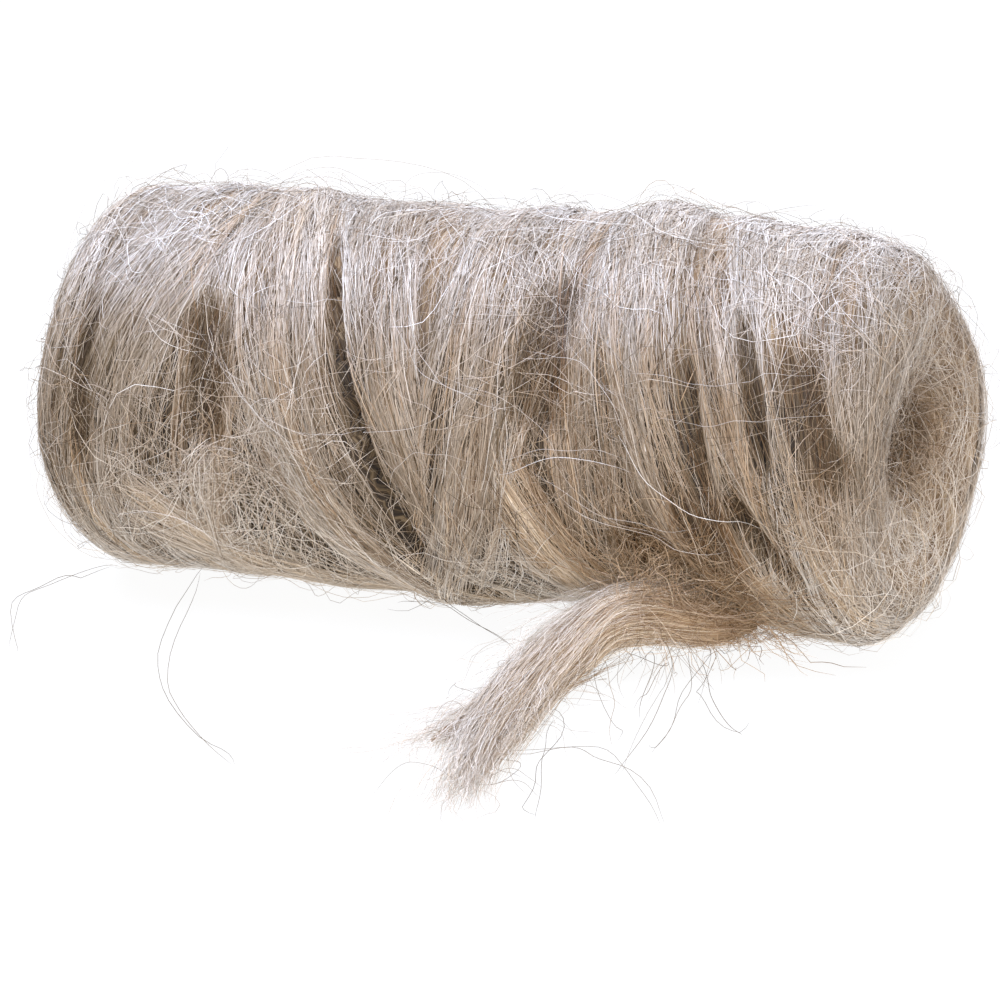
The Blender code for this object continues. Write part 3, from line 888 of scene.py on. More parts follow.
def loose_fibres(seed, count, sections, starts, fan):
    """Fibres of the loose end, side by side, crossing a little and fanning out towards its point.

    They start anywhere between two shares of the way along it.
    """
    rng = np.random.default_rng(seed)
    step = steps(10)
    start = rng.uniform(*starts, count)
    end = np.minimum(start + rng.uniform(0.30, 0.75, count), rng.normal(0.94, 0.08, count))
    end = np.maximum(end, start + 0.12)
    t = start[:, None] + (end - start)[:, None] * step
    held = np.clip(t, 0.0, 1.0)
    (x, y, centre, half_width, half_height), across = along_sections(sections, held)
    turn = rng.uniform(0.0, 2 * math.pi, count)
    depth = rng.random(count) ** 0.35
    side = depth * np.cos(turn)
    rise = depth * np.sin(turn)
    wide = np.maximum(half_width, 1.2)
    cross = rng.normal(0.0, 1.5, count)
    spread = (rng.normal(0.0, fan, count))[:, None] * np.clip(t - 0.4, 0.0, 1.0) ** 1.4 * 9.0
    off = side[:, None] * wide + cross[:, None] * (step - 0.5) + spread
    off += 0.55 * waves(rng, count, step, 0.5)
    high = centre + rise[:, None] * half_height + 0.4 * waves(rng, count, step, 0.9)
    past = (t - held) * LOOSE_LENGTH
    px = x + across[0] * off + across[1] * past
    py = y + across[1] * off - across[0] * past
    points = kept_clear(np.stack([px, py, np.maximum(high, LEAST_HEIGHT)], axis=-1), 0.1)
    facing = np.stack([across[0] * side[:, None], across[1] * side[:, None] - 0.3,
                       rise[:, None] + 0.6 + 0.0 * x], axis=-1)
    facing = facing + rng.normal(0.0, FACING_SPREAD, (count, 1, 3))
    tone = each_tone(rng, count, LOOSE.tone, LOOSE.spread)[:, None]
    tone = tone - LOOSE.shaded * smooth(1.0 - t / LOOSE_SHADE_END)
    tone += TONE_WAVE * waves(rng, count, step, 1.5)
    # Fibres that start near the root are painted yellower, with the roll's painted shade there.
    warmth = each_warmth(rng, count, LOOSE.warmth) + 0.2 * side + 0.5 * (1.0 - smooth(start / 0.4))
    return Fibres(points, facing, np.clip(tone, *FIBRE_TONES), np.clip(warmth, 0.0, 1.0),
                  rng.uniform(LOOSE.thinnest, LOOSE.thickest, count))


def fluff_fibres(seed, count, sections):
    """Short fine fibres that lie every way over the loose end and stick out past its edges."""
    rng = np.random.default_rng(seed)
    step = steps()
    t = rng.uniform(0.06, 1.0, count)
    (x, y, centre, half_width, half_height), across = along_sections(sections, t)
    side = rng.choice([-1.0, 1.0], count) * rng.random(count) ** 0.6
    rise = np.sqrt(1.0 - (0.98 * side) ** 2)
    heading = np.arctan2(-across[0], across[1]) + rng.normal(0.0, 0.45, count)
    turn = heading[:, None] + rng.normal(0.0, 1.1, count)[:, None] * (step - 0.3)
    turn += 0.35 * waves(rng, count, step, 1.1)
    piece = (rng.triangular(4.0, 7.0, 17.0, count) / (FIBRE_POINTS - 1))[:, None]
    px, py = walk(x + across[0] * side * half_width, y + across[1] * side * half_width, turn, piece)
    top = centre + rise * half_height
    pz = top[:, None] * (1.0 - 0.25 * step) + 0.1 + 0.5 * rng.random(count)[:, None]
    pz += 0.5 * waves(rng, count, step, 0.8)
    points = kept_clear(np.stack([px, py, np.maximum(pz, LEAST_HEIGHT)], axis=-1), 0.1)
    tone, warmth, thickness = each_look(rng, count, FLUFF)
    tone -= FLUFF.shaded * smooth(1.0 - t / LOOSE_SHADE_END)
    # Near the root they are painted yellower too, with the painted shade.
    return hanging(points, tone, warmth + 0.3 * (1.0 - smooth(t / 0.3)), thickness)


def root_fibres(seed, count):
    """Messy fibres in the pocket where the loose end leaves the roll, painted dark brown as painted shade.
    """
    rng = np.random.default_rng(seed)
    step = steps()
    t = rng.uniform(0.0, 0.4, count) ** 1.25
    (x, y, centre, half_width, half_height), across = along_sections(LOOSE_SECTIONS, t)
    turn = rng.uniform(-0.3 * math.pi, 1.1 * math.pi, count)
    begin = np.stack([x + across[0] * half_width * 0.8 * np.cos(turn),
                      y + across[1] * half_width * 0.8 * np.cos(turn),
                      centre + half_height * 0.9 * np.sin(turn)], axis=-1)
    way = rng.normal(0.0, 1.0, (count, 3)) * np.array([1.0, 0.45, 0.7]) + np.array([0.5, -0.1, 0.45])
    length = rng.uniform(5.0, 13.0, count)
    points = begin[:, None] + way[:, None] / 1.4 * (length[:, None] * step)[..., None]
    points = kept_clear(points + 1.1 * wobble(rng, count, step, 0.8), 0.2)
    return hanging(points, *each_look(rng, count, ROOT), facing=(0.0, -0.7, 1.0))


def loose_curls(seed, count):
    """Fine hairs that loop out from under the loose end and lie on the surface beside it."""
    rng = np.random.default_rng(seed)
    points = 18
    step = steps(points)
    t = rng.uniform(0.05, 0.98, count) ** 1.2
    (x, y, centre, half_width, half_height), across = along_sections(LOOSE_SECTIONS, t)
    side = rng.choice([-1.0, 1.0, 1.0], count)
    heading = np.arctan2(across[1] * side, across[0] * side) + rng.normal(0.0, 0.8, count)
    bend = rng.normal(0.0, 2.8, count)[:, None] * step + 0.8 * waves(rng, count, step, 0.9)
    turn = heading[:, None] + bend
    piece = (rng.uniform(5.0, 14.0, count) / (points - 1))[:, None]
    px, py = walk(x + across[0] * side * half_width * 0.6, y + across[1] * side * half_width * 0.6,
                  turn, piece)
    peak = rng.uniform(0.2, 4.0, count)[:, None]
    pz = centre[:, None] * (1 - step) + peak * np.sin(math.pi * step)
    made = np.stack([px, np.maximum(py, FURTHEST_FRONT), np.maximum(pz, LEAST_HEIGHT)], axis=-1)
    return hanging(kept_clear(made, 0.2), *each_look(rng, count, CURL))


# ---- Meshes ----
def new_object(name, data):
    """A new object in the scene."""
    obj = bpy.data.objects.new(name, data)
    bpy.context.scene.collection.objects.link(obj)
    return obj


def mesh_object(name, points, faces):
    """An object made of points in millimetres and faces between them."""
    mesh = bpy.data.meshes.new(name)
    mesh.from_pydata((np.asarray(points) * MM).tolist(), [], faces)
    mesh.update()
    return new_object(name, mesh)


def lines_object(name, sets):
    """Open lines, one for each fibre, that carry what the fibre nodes read."""
    starts = 0
    points, edges = [], []
    columns = {"tone": [], "warmth": [], "thickness": [], "along": [], "facing": []}
    for fibres in sets:
        count, each, _ = fibres.points.shape
        number = starts + np.arange(count * each).reshape(count, each)
        edges.append(np.stack([number[:, :-1].ravel(), number[:, 1:].ravel()], axis=1))
        points.append(fibres.points.reshape(-1, 3) * MM)
        columns["tone"].append(fibres.tone.ravel())
        columns["warmth"].append(np.repeat(fibres.warmth, each))
        columns["thickness"].append(np.repeat(fibres.thickness, each))
        columns["along"].append(np.tile(steps(each)[0], count))
        columns["facing"].append(fibres.facing.reshape(-1, 3))
        starts += count * each
    mesh = bpy.data.meshes.new(name)
    mesh.vertices.add(starts)
    mesh.vertices.foreach_set("co", np.concatenate(points).astype(np.float32).ravel())
    edges = np.concatenate(edges)
    mesh.edges.add(len(edges))
    mesh.edges.foreach_set("vertices", edges.astype(np.int32).ravel())
    for key, values in columns.items():
        values = np.concatenate(values).astype(np.float32)
        if values.ndim == 2:
            attribute = mesh.attributes.new(key, "FLOAT_VECTOR", "POINT")
            attribute.data.foreach_set("vector", values.ravel())
        else:
            attribute = mesh.attributes.new(key, "FLOAT", "POINT")
            attribute.data.foreach_set("value", values)
    mesh.update()
    return new_object(name, mesh)


def add(tree, kind, settings=None, links=None):
    """Adds a node, with its settings and, for each input, a value or the output that feeds it."""
    node = tree.nodes.new(kind)
    for key, value in (settings or {}).items():
        setattr(node, key, value)
    for key, value in (links or {}).items():
        socket = node.inputs[key]
        if isinstance(value, bpy.types.NodeSocket):
            tree.links.new(value, socket)
        else:
            socket.default_value = value
    return node


HALF_ROUND = math.radians(78.0)      # how far a laid fibre's outer half goes down each side


def fibre_tree(name, is_round):
    """Geometry Nodes that turn each line into a thin tapered fibre that wanders a little.

    A round fibre is a closed tube. Any other lies on the surface and has only its outer half.
    """
    tree = bpy.data.node_groups.new(name, "GeometryNodeTree")
    face = tree.interface
    face.new_socket("Geometry", in_out="INPUT", socket_type="NodeSocketGeometry")
    for key, kind, value in (("Fibre radius", "Float", 0.00007), ("Wander", "Float", 0.0002),
                             ("Wander size", "Float", 0.007), ("Taper", "Float", 0.25),
                             ("Sides", "Int", 3), ("Seed", "Int", 1)):
        socket = face.new_socket(key, in_out="INPUT", socket_type="NodeSocket" + kind)
        socket.default_value = value
    face.new_socket("Geometry", in_out="OUTPUT", socket_type="NodeSocketGeometry")
    given = add(tree, "NodeGroupInput").outputs

    def named(key, kind="FLOAT"):
        return add(tree, "GeometryNodeInputNamedAttribute", {"data_type": kind},
                   {"Name": key}).outputs["Attribute"]

    def maths(operation, a, b=0.0):
        return add(tree, "ShaderNodeMath", {"operation": operation}, {0: a, 1: b}).outputs[0]

    # Every point strays a little, and no two fibres alike.
    lines = add(tree, "GeometryNodeMeshToCurve", None, {"Mesh": given["Geometry"]}).outputs["Curve"]
    place = add(tree, "GeometryNodeInputPosition").outputs[0]
    own = maths("ADD", maths("MULTIPLY", named("thickness"), 91.0), given["Seed"])
    noise = add(tree, "ShaderNodeTexNoise", {"noise_dimensions": "4D"},
                {"Vector": place, "W": own, "Scale": maths("DIVIDE", 1.0, given["Wander size"]),
                 "Detail": 1.0})
    centred = add(tree, "ShaderNodeVectorMath", {"operation": "SUBTRACT"},
                  {0: noise.outputs["Color"], 1: (0.5, 0.5, 0.5)}).outputs[0]
    moved = add(tree, "ShaderNodeVectorMath", {"operation": "SCALE"},
                {0: centred, "Scale": maths("MULTIPLY", given["Wander"], 2.0)}).outputs[0]
    lines = add(tree, "GeometryNodeSetPosition", None, {"Geometry": lines, "Offset": moved})
    lines = lines.outputs["Geometry"]
    # A fibre thins towards both ends.
    from_middle = maths("ABSOLUTE", maths("SUBTRACT", maths("MULTIPLY", named("along"), 2.0), 1.0))
    thinned = maths("MULTIPLY", maths("POWER", from_middle, 4.0), maths("SUBTRACT", 1.0, given["Taper"]))
    radius = maths("MULTIPLY", maths("MULTIPLY", given["Fibre radius"], named("thickness")),
                   maths("SUBTRACT", 1.0, thinned))
    sides = {"Resolution": given["Sides"], "Radius": 1.0}
    if is_round:
        ring = add(tree, "GeometryNodeCurvePrimitiveCircle", {"mode": "RADIUS"}, sides).outputs["Curve"]
    else:
        lines = add(tree, "GeometryNodeSetCurveNormal", {"mode": "FREE"},
                    {"Curve": lines, "Normal": named("facing", "FLOAT_VECTOR")}).outputs["Curve"]
        ring = add(tree, "GeometryNodeCurveArc", {"mode": "RADIUS"},
                   sides | {"Start Angle": -HALF_ROUND, "Sweep Angle": 2 * HALF_ROUND}).outputs["Curve"]
    round_share = add(tree, "GeometryNodeSplineParameter").outputs["Factor"]
    ring = add(tree, "GeometryNodeStoreNamedAttribute", {"data_type": "FLOAT", "domain": "POINT"},
               {"Geometry": ring, "Name": "round", "Value": round_share}).outputs["Geometry"]
    tubes = add(tree, "GeometryNodeCurveToMesh", None,
                {"Curve": lines, "Profile Curve": ring, "Scale": radius, "Fill Caps": is_round})
    # Its map: tone across and warmth up, with a trace of the place round it and along it.
    across = maths("ADD", named("tone"), maths("MULTIPLY", named("round"), 0.02))
    up = maths("ADD", maths("MULTIPLY", named("warmth"), 0.97), maths("MULTIPLY", named("along"), 0.03))
    spot = add(tree, "ShaderNodeCombineXYZ", None, {"X": across, "Y": up}).outputs[0]
    tubes = add(tree, "GeometryNodeStoreNamedAttribute", {"data_type": "FLOAT2", "domain": "CORNER"},
                {"Geometry": tubes.outputs["Mesh"], "Name": "OFBake", "Value": spot})
    soft = add(tree, "GeometryNodeSetShadeSmooth", None, {"Geometry": tubes.outputs["Geometry"]})
    real = add(tree, "GeometryNodeRealizeInstances", None, {"Geometry": soft.outputs[0]})
    worn = add(tree, "GeometryNodeSetMaterial", None,
               {"Geometry": real.outputs["Geometry"], "Material": hemp_fibre_material()})
    add(tree, "NodeGroupOutput", None, {"Geometry": worn.outputs["Geometry"]})
    return tree


def fibre_piece(name, sets, number, wander=1.0, is_round=False):
    """One piece of fibres, a plain mesh, made from sets of fibre paths.

    Its number makes it wander unlike the other pieces, and wander is a share of what is set.
    """
    settings = bpy.context.scene.hemp_roll
    obj = lines_object(name, sets)
    tree_name = "Stray hairs" if is_round else "Laid bast fibres"
    tree = bpy.data.node_groups.get(tree_name) or fibre_tree(tree_name, is_round)
    modifier = obj.modifiers.new(tree_name, "NODES")
    modifier.node_group = tree
    wanted = {"Fibre radius": settings.flyaway_radius if is_round else settings.fibre_radius,
              "Wander": wander * settings.wander, "Seed": number, "Sides": settings.sides}
    for item in tree.interface.items_tree:
        if item.in_out == "INPUT" and item.name in wanted:
            modifier[item.identifier] = wanted[item.name]
    bpy.context.view_layer.update()
    evaluated = obj.evaluated_get(bpy.context.evaluated_depsgraph_get())
    mesh = bpy.data.meshes.new_from_object(evaluated)
    for extra in ("tone", "warmth", "along", "thickness", "facing", "round"):
        if extra in mesh.attributes:
            mesh.attributes.remove(mesh.attributes[extra])
    obj.modifiers.remove(modifier)
    lines = obj.data
    obj.data = mesh
    bpy.data.meshes.remove(lines)
    mesh.name = name
    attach(obj, BODY)
    return obj


# ---- Materials ----
def linear(colour):
    """An sRGB hex colour such as #c8b093 as linear RGBA."""
    channels = [int(colour[i:i + 2], 16) / 255.0 for i in (1, 3, 5)]
    return tuple(c / 12.92 if c <= 0.04045 else ((c + 0.055) / 1.055) ** 2.4 for c in channels) + (1.0,)


def ramp(tree, factor, stops):
    """The colour that a factor gives between stops, which are positions and sRGB hex colours."""
    node = add(tree, "ShaderNodeValToRGB", None, {"Fac": factor})
    elements = node.color_ramp.elements
    while len(elements) < len(stops):
        elements.new(0.5)
    for element, (position, colour) in zip(elements, stops):
        element.position = position
        element.color = linear(colour)
    return node.outputs["Color"]


def new_material(name):
    """A new material, its node tree and its shader."""
    material = bpy.data.materials.new(name)
    material.use_nodes = True
    tree = material.node_tree
    return material, tree, tree.nodes["Principled BSDF"]


GREY_HEMP = ((0.0, "#2a1c10"), (0.25, "#5a4a35"), (0.50, "#918475"), (0.75, "#bab3ac"), (1.0, "#e5e3e1"))
HONEY_HEMP = ((0.0, "#2c1b0d"), (0.25, "#664728"), (0.50, "#a08360"), (0.75, "#c7b296"), (1.0, "#e6dccd"))


def hemp_fibre_material():
    """Combed bast fibre: fine straw-coloured strands, smooth enough for a silky sheen.

    Its own map gives the colour: across the map runs from dark, which is duller, to light; that takes in
    dark bark and bleached straw, and the painted shade and painted light on each fibre. Up the map runs
    from grey hemp to honey.
    """
    name = "Combed hemp fibre"
    if name in bpy.data.materials:
        return bpy.data.materials[name]
    material, tree, shader = new_material(name)
    spot = add(tree, "ShaderNodeTexCoord").outputs["UV"]
    parts = add(tree, "ShaderNodeSeparateXYZ", None, {"Vector": spot}).outputs
    grey = ramp(tree, parts["X"], GREY_HEMP)
    honey = ramp(tree, parts["X"], HONEY_HEMP)
    colour = add(tree, "ShaderNodeMix", {"data_type": "RGBA"}, {0: parts["Y"], 6: grey, 7: honey})
    tree.links.new(colour.outputs[2], shader.inputs["Base Color"])
    gloss = add(tree, "ShaderNodeMapRange", None,
                {"Value": parts["X"], "From Min": 0.25, "From Max": 0.5, "To Min": 0.25, "To Max": 0.8})
    tree.links.new(gloss.outputs["Result"], shader.inputs["Specular IOR Level"])
    shader.inputs["Roughness"].default_value = 0.38
    shader.inputs["IOR"].default_value = 1.53
    return material


SHADED_HEMP = ((0.30, "#160f09"), (0.46, "#33281c"), (0.58, "#574834"), (0.70, "#7f6e56"))
PALE_HEMP = ((0.30, "#775d40"), (0.46, "#94785a"), (0.58, "#ae9474"), (0.70, "#c4ad8e"))


# The matted fibre is painted paler near the roll's top, as painted light, and paler near its ends: from
# which height, or distance along X from the middle, up to which, and by how much at most. The places are
# in metres, as the nodes have them.
PAINTED_LIGHT_TOP = (0.040, 0.054, 0.8)
PALER_ENDS = (0.056, 0.062, 0.6)


def matted_hemp_material(name, stops, top_stops):
    """Fibre matted together under what is laid over it: streaked along its run, rough and dull.

    It takes the second stops' colours where it is painted paler: at the top as painted light, and at the
    ends.
    """
    if name in bpy.data.materials:
        return bpy.data.materials[name]
    material, tree, shader = new_material(name)
    spot = add(tree, "ShaderNodeTexCoord").outputs["UV"]
    stretched = add(tree, "ShaderNodeMapping", None, {"Vector": spot, "Scale": (0.12, 3.6, 1.0)})
    streak = add(tree, "ShaderNodeTexNoise", None,
                 {"Vector": stretched.outputs[0], "Scale": 1.0, "Detail": 4.0,
                  "Distortion": 0.4}).outputs["Fac"]
    place = add(tree, "ShaderNodeSeparateXYZ", None,
                {"Vector": add(tree, "ShaderNodeTexCoord").outputs["Object"]})
    out = add(tree, "ShaderNodeMath", {"operation": "ABSOLUTE"}, {0: place.outputs["X"]})
    # Painted light towards the top, and paler towards the ends.
    shares = [add(tree, "ShaderNodeMapRange", None,
                  {"Value": value, "From Min": start, "From Max": full, "To Max": most}).outputs["Result"]
              for value, (start, full, most) in ((place.outputs["Z"], PAINTED_LIGHT_TOP),
                                                 (out.outputs[0], PALER_ENDS))]
    paler = add(tree, "ShaderNodeMath", {"operation": "MAXIMUM"}, dict(enumerate(shares)))
    colour = add(tree, "ShaderNodeMix", {"data_type": "RGBA"},
                 {0: paler.outputs[0], 6: ramp(tree, streak, stops), 7: ramp(tree, streak, top_stops)})
    tree.links.new(colour.outputs[2], shader.inputs["Base Color"])
    shader.inputs["Roughness"].default_value = 0.85
    bump = add(tree, "ShaderNodeBump", None, {"Strength": 0.8, "Distance": 0.0004, "Height": streak})
    tree.links.new(bump.outputs["Normal"], shader.inputs["Normal"])
    return material


# ---- The roll's matted bed and the loose end's cores ----
def closed_rings(name, points):
    """A closed mesh from rings of points, rows by corners by 3, with a pole at each end."""
    rows, corners, _ = points.shape
    poles = [points[0].mean(axis=0), points[-1].mean(axis=0)]
    number = np.arange(rows * corners).reshape(rows, corners)
    after = np.roll(number, -1, axis=1)
    quads = np.stack([number[:-1], after[:-1], after[1:], number[1:]], axis=-1).reshape(-1, 4)
    first = rows * corners
    faces = quads.tolist()
    faces += [[first, b, a] for a, b in zip(number[0].tolist(), after[0].tolist())]
    faces += [[first + 1, a, b] for a, b in zip(number[-1].tolist(), after[-1].tolist())]
    return mesh_object(name, np.vstack([points.reshape(-1, 3), poles]), faces)


def point_out(obj):
    """Turns a closed mesh's faces outwards and shades it smooth."""
    shell = bmesh.new()
    shell.from_mesh(obj.data)
    bmesh.ops.recalc_face_normals(shell, faces=shell.faces[:])
    shell.to_mesh(obj.data)
    shell.free()
    obj.data.shade_smooth()


def map_flow(obj, u, v):
    """Maps the sides of closed rings, with a u and a v for each corner of each of their faces."""
    values = np.zeros((len(obj.data.loops), 2), np.float32)
    values[:u.size] = np.stack([u.ravel(), v.ravel()], axis=1)
    obj.data.uv_layers.new(name="flow").uv.foreach_set("vector", values.ravel())


def build_bed():
    """The closed matted bed, with a map that runs along whichever strand lies on top."""
    along = np.linspace(OUTLINE[0, 0], OUTLINE[-1, 0], BED_ROWS)
    angle = np.arange(BED_TURNS) * 360.0 / BED_TURNS
    grid_along, grid_angle = np.meshgrid(along, angle, indexing="ij")
    points = on_roll(grid_angle, grid_along, np.full(grid_along.shape, -BED_DEPTH))
    obj = closed_rings("matted_bed", points)
    corner_angle = np.stack([grid_angle, grid_angle + 360.0 / BED_TURNS], axis=-1)[:-1][..., [0, 1, 1, 0]]
    corner_along = np.stack([grid_along[:-1], grid_along[1:]], axis=-1)[..., [0, 0, 1, 1]]
    corner_x = np.interp(corner_along, OUTLINE[:, 0], OUTLINE[:, 1])
    middle_angle = corner_angle.mean(axis=-1)
    top = SURFACE.strand_at(middle_angle, corner_x.mean(axis=-1))
    u = np.radians(corner_angle) * CORE_RADIUS
    v = corner_along.copy()
    for number, strand in enumerate(STRANDS):
        rows = top == number
        middle = middle_angle[rows]
        turn = 360.0 * np.round((middle - 0.5 * (strand.start + strand.end)) / 360.0)
        t = (corner_angle[rows] - turn[:, None] - strand.start) / (strand.end - strand.start)
        off = off_course(strand, t, corner_x[rows])
        u[rows] += 37.0 * number + course_slope(strand, t) * off
        v[rows] = off + 29.0 * number
    map_flow(obj, u, v)
    return obj


def tongue_object(name, sections, shrink, rows, corners):
    """A closed low tongue, a little inside the loose end's fibres, flat where it lies down."""
    t = np.linspace(0.0, CORE_REACH, rows)
    (x, y, centre, half_width, half_height), across = along_sections(sections, t)
    shrink = shrink * np.minimum(1.0, 5.0 * (1.04 * CORE_REACH - t)) ** 0.5
    shrink = shrink * np.minimum(1.0, 9.0 * (t + 0.01)) ** 0.5
    turn = np.linspace(0.0, 2 * math.pi, corners, endpoint=False)[None, :]
    off = (half_width * shrink)[:, None] * np.cos(turn)
    high = centre[:, None] + (half_height * shrink)[:, None] * np.sin(turn)
    points = np.stack([x[:, None] + across[0][:, None] * off, y[:, None] + across[1][:, None] * off,
                       np.maximum(high, 0.0)], axis=-1)
    obj = closed_rings(name, clear_of_roll(points, 0.7))
    row = np.repeat(np.arange(rows - 1), corners)
    column = np.tile(np.arange(corners), rows - 1)
    map_flow(obj, np.stack([row, row, row + 1, row + 1], axis=-1) * LOOSE_LENGTH / rows,
             np.stack([column, column + 1, column + 1, column], axis=-1) * LOOSE_GIRTH / corners)
    return obj


# ---- Settings, operators and panel ----
# Each set of fibres adds a number of its own to the seed that is set.
class HempRollSettings(bpy.types.PropertyGroup):
    fibre_radius: FloatProperty(
        name="Fibre radius", description="Half the thickness of a combed bast fibre",
        default=0.000067, min=0.00002, max=0.0004, precision=6, unit="LENGTH")
    flyaway_radius: FloatProperty(
        name="Flyaway radius", description="Half the thickness of a fine stray hair",
        default=0.000045, min=0.00002, max=0.0004, precision=6, unit="LENGTH")
    wander: FloatProperty(
        name="Wander", description="How far a fibre strays from its neighbours",
        default=0.0003, min=0.0, max=0.003, precision=5, unit="LENGTH")
    sides: IntProperty(
        name="Sides", description="Corners of each fibre's section", default=3, min=3, max=6)
    seed: IntProperty(
        name="Seed", description="Which of the many like rolls is made", default=7, min=0)


class HempStageSettings(bpy.types.PropertyGroup):
    floor_colour: FloatVectorProperty(
        name="Floor", description="Colour of the light table's plain top", subtype="COLOR", size=3,
        default=(0.05, 0.05, 0.05), min=0.0, max=1.0)
    floor_glow: FloatProperty(
        name="Floor glow", description="Light that comes up through the floor and softens shadows",
        default=0.94, min=0.0)
    camera_distance: FloatProperty(
        name="Camera distance", description="From the camera to the point it looks at",
        default=0.85, min=0.2, max=5.0, unit="LENGTH")
    camera_azimuth: FloatProperty(
        name="Camera azimuth", description="How far the camera stands round towards the right end",
        default=math.radians(25.7), subtype="ANGLE")
    camera_elevation: FloatProperty(
        name="Camera elevation", description="How far above the floor the camera looks from",
        default=math.radians(20.0), subtype="ANGLE")
    camera_tilt: FloatProperty(
        name="Camera tilt", description="How far the camera is turned about its own line of sight",
        default=math.radians(-4.3), subtype="ANGLE")
    key_power: FloatProperty(
        name="Key light", description="Power of the large soft light above", default=17.6, min=0.0,
        unit="POWER")
    back_power: FloatProperty(
        name="Back light", description="Power of the light that edges the top", default=6.5, min=0.0,
        unit="POWER")
    side_power: FloatProperty(
        name="Side light", description="Power of the light on the open end", default=4.2, min=0.0,
        unit="POWER")
    front_power: FloatProperty(
        name="Front light", description="Power of the low light in front", default=10.0, min=0.0,
        unit="POWER")
    room_light: FloatProperty(
        name="Room light", description="Brightness of the plain white room", default=0.50, min=0.0)


class HEMP_OT_matted_bed(bpy.types.Operator):
    """Make the matted bed that the strands lie on"""
    bl_idname = "hemp.matted_bed"
    bl_label = "Matted bed"

    def execute(self, context):
        bed = build_bed()
        point_out(bed)
        bed.data.materials.append(matted_hemp_material("Matted hemp in shade", SHADED_HEMP, PALE_HEMP))
        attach(bed, BODY)
        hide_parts("wound_roll")
        return {"FINISHED"}


class HEMP_OT_strands(bpy.types.Operator):
    """Lay the fibres of each outer strand"""
    bl_idname = "hemp.strands"
    bl_label = "Wound strands"

    def execute(self, context):
        seed = context.scene.hemp_roll.seed
        for number, strand in enumerate(STRANDS):
            fibre_piece("strand_" + strand.name, [strand_fibres(strand, seed * 100 + number)], number)
        return {"FINISHED"}


class HEMP_OT_filling(bpy.types.Operator):
    """Lay the criss-cross fibres between the strands and the curls of the matted patches"""
    bl_idname = "hemp.filling"
    bl_label = "Filling and tangles"

    def execute(self, context):
        seed = context.scene.hemp_roll.seed
        fibre_piece("filling_fibres", [filling_fibres(seed + 31, FILLING_COUNT, FILLING_SPARSE)], 21)
        fibre_piece("fuzz_fibres", [fuzz_fibres(seed + 35, FUZZ_COUNT)], 22)
        fibre_piece("tangled_fibres", [tangle_fibres(seed + 37)], 23)
        return {"FINISHED"}


class HEMP_OT_ends(bpy.types.Operator):
    """Lay the fibres that circle the hollow in each end"""
    bl_idname = "hemp.ends"
    bl_label = "Ends"

    def execute(self, context):
        seed = context.scene.hemp_roll.seed
        for name, way in (("left", -1), ("right", 1)):
            fibre_piece(name + "_end_fibres", [end_fibres(seed + 41 + way, END_COUNT, way)], 31 + way)
            reach = sorted(SIDES[way] + way * past for past in RIM_FLYAWAY_REACH)
            sets = [hollow_strays(seed + 51 + way, STRUNG_COUNT, way),
                    flyaway_fibres(seed + way, RIM_FLYAWAYS, reach)]
            fibre_piece(name + "_hollow_hairs", sets, 35 + way, is_round=True)
        return {"FINISHED"}


class HEMP_OT_flyaways(bpy.types.Operator):
    """Add the fine hairs that stand off the roll"""
    bl_idname = "hemp.flyaways"
    bl_label = "Flyaway hairs"

    def execute(self, context):
        seed = context.scene.hemp_roll.seed
        reach = (LEFT_SIDE - FLYAWAY_REACH, RIGHT_SIDE + FLYAWAY_REACH)
        sets = [flyaway_fibres(seed, hairs, reach) for hairs in FLYAWAYS]
        sets += [stray_fibres(seed + 63), floor_hairs(seed + 64)]
        fibre_piece("flyaway_hairs", sets, 41, wander=0.5, is_round=True)
        return {"FINISHED"}


class HEMP_OT_loose_end(bpy.types.Operator):
    """Make the loose end, its frayed points and the hairs round it"""
    bl_idname = "hemp.loose_end"
    bl_label = "Loose end"

    def execute(self, context):
        seed = context.scene.hemp_roll.seed
        core = tongue_object("loose_end_core", LOOSE_SECTIONS, shrink=0.78, rows=44, corners=18)
        fray = tongue_object("loose_end_fray", FRAY_SECTIONS, shrink=0.42, rows=18, corners=12)
        for piece in (core, fray):
            point_out(piece)
            piece.data.materials.append(matted_hemp_material("Matted pale hemp", PALE_HEMP, PALE_HEMP))
            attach(piece, BODY)
        sets = [loose_fibres(seed + 71, LOOSE_COUNT, LOOSE_SECTIONS, starts=(-0.03, 0.66), fan=0.4),
                loose_fibres(seed + 72, FRAY_COUNT, FRAY_SECTIONS, starts=(-0.30, 0.55), fan=0.7),
                fluff_fibres(seed + 75, FLUFF_COUNT, LOOSE_SECTIONS),
                fluff_fibres(seed + 76, FRAY_FLUFF_COUNT, FRAY_SECTIONS),
                root_fibres(seed + 73, ROOT_COUNT)]
        fibres = fibre_piece("loose_end_fibres", sets, 51, wander=0.45)
        curls = fibre_piece("loose_end_hairs", [loose_curls(seed + 81, CURL_COUNT)], 61, is_round=True)
        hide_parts("loose_end")
        return {"FINISHED"}


# The large soft lights, with places and sizes in metres.
Lamp = namedtuple("Lamp", "name place size colour")

LAMPS = (
    Lamp("key", (-0.22, -0.05, 0.72), 0.8, "#d6e3ff"),
    Lamp("back", (0.05, 0.80, 0.34), 0.7, "#e6ecff"),
    Lamp("side", (0.70, -0.26, 0.30), 0.6, "#f8f8ff"),
    Lamp("front", (0.25, -0.95, 0.12), 0.9, "#fff6ec"),
)
FLOOR_HALF = 3000.0      # the floor reaches this far each way,
FLOOR_DROP = 0.1         # and lies this far under what stands on it


def area_light(lamp, target, power):
    """One of the lights, turned towards its target."""
    light = bpy.data.lights.new(lamp.name, "AREA")
    light.shape = "DISK"
    light.size = lamp.size
    light.energy = power
    light.color = linear(lamp.colour)[:3]
    obj = new_object(lamp.name, light)
    obj.location = lamp.place
    obj.rotation_euler = (Vector(target) - Vector(lamp.place)).to_track_quat("-Z", "Y").to_euler()


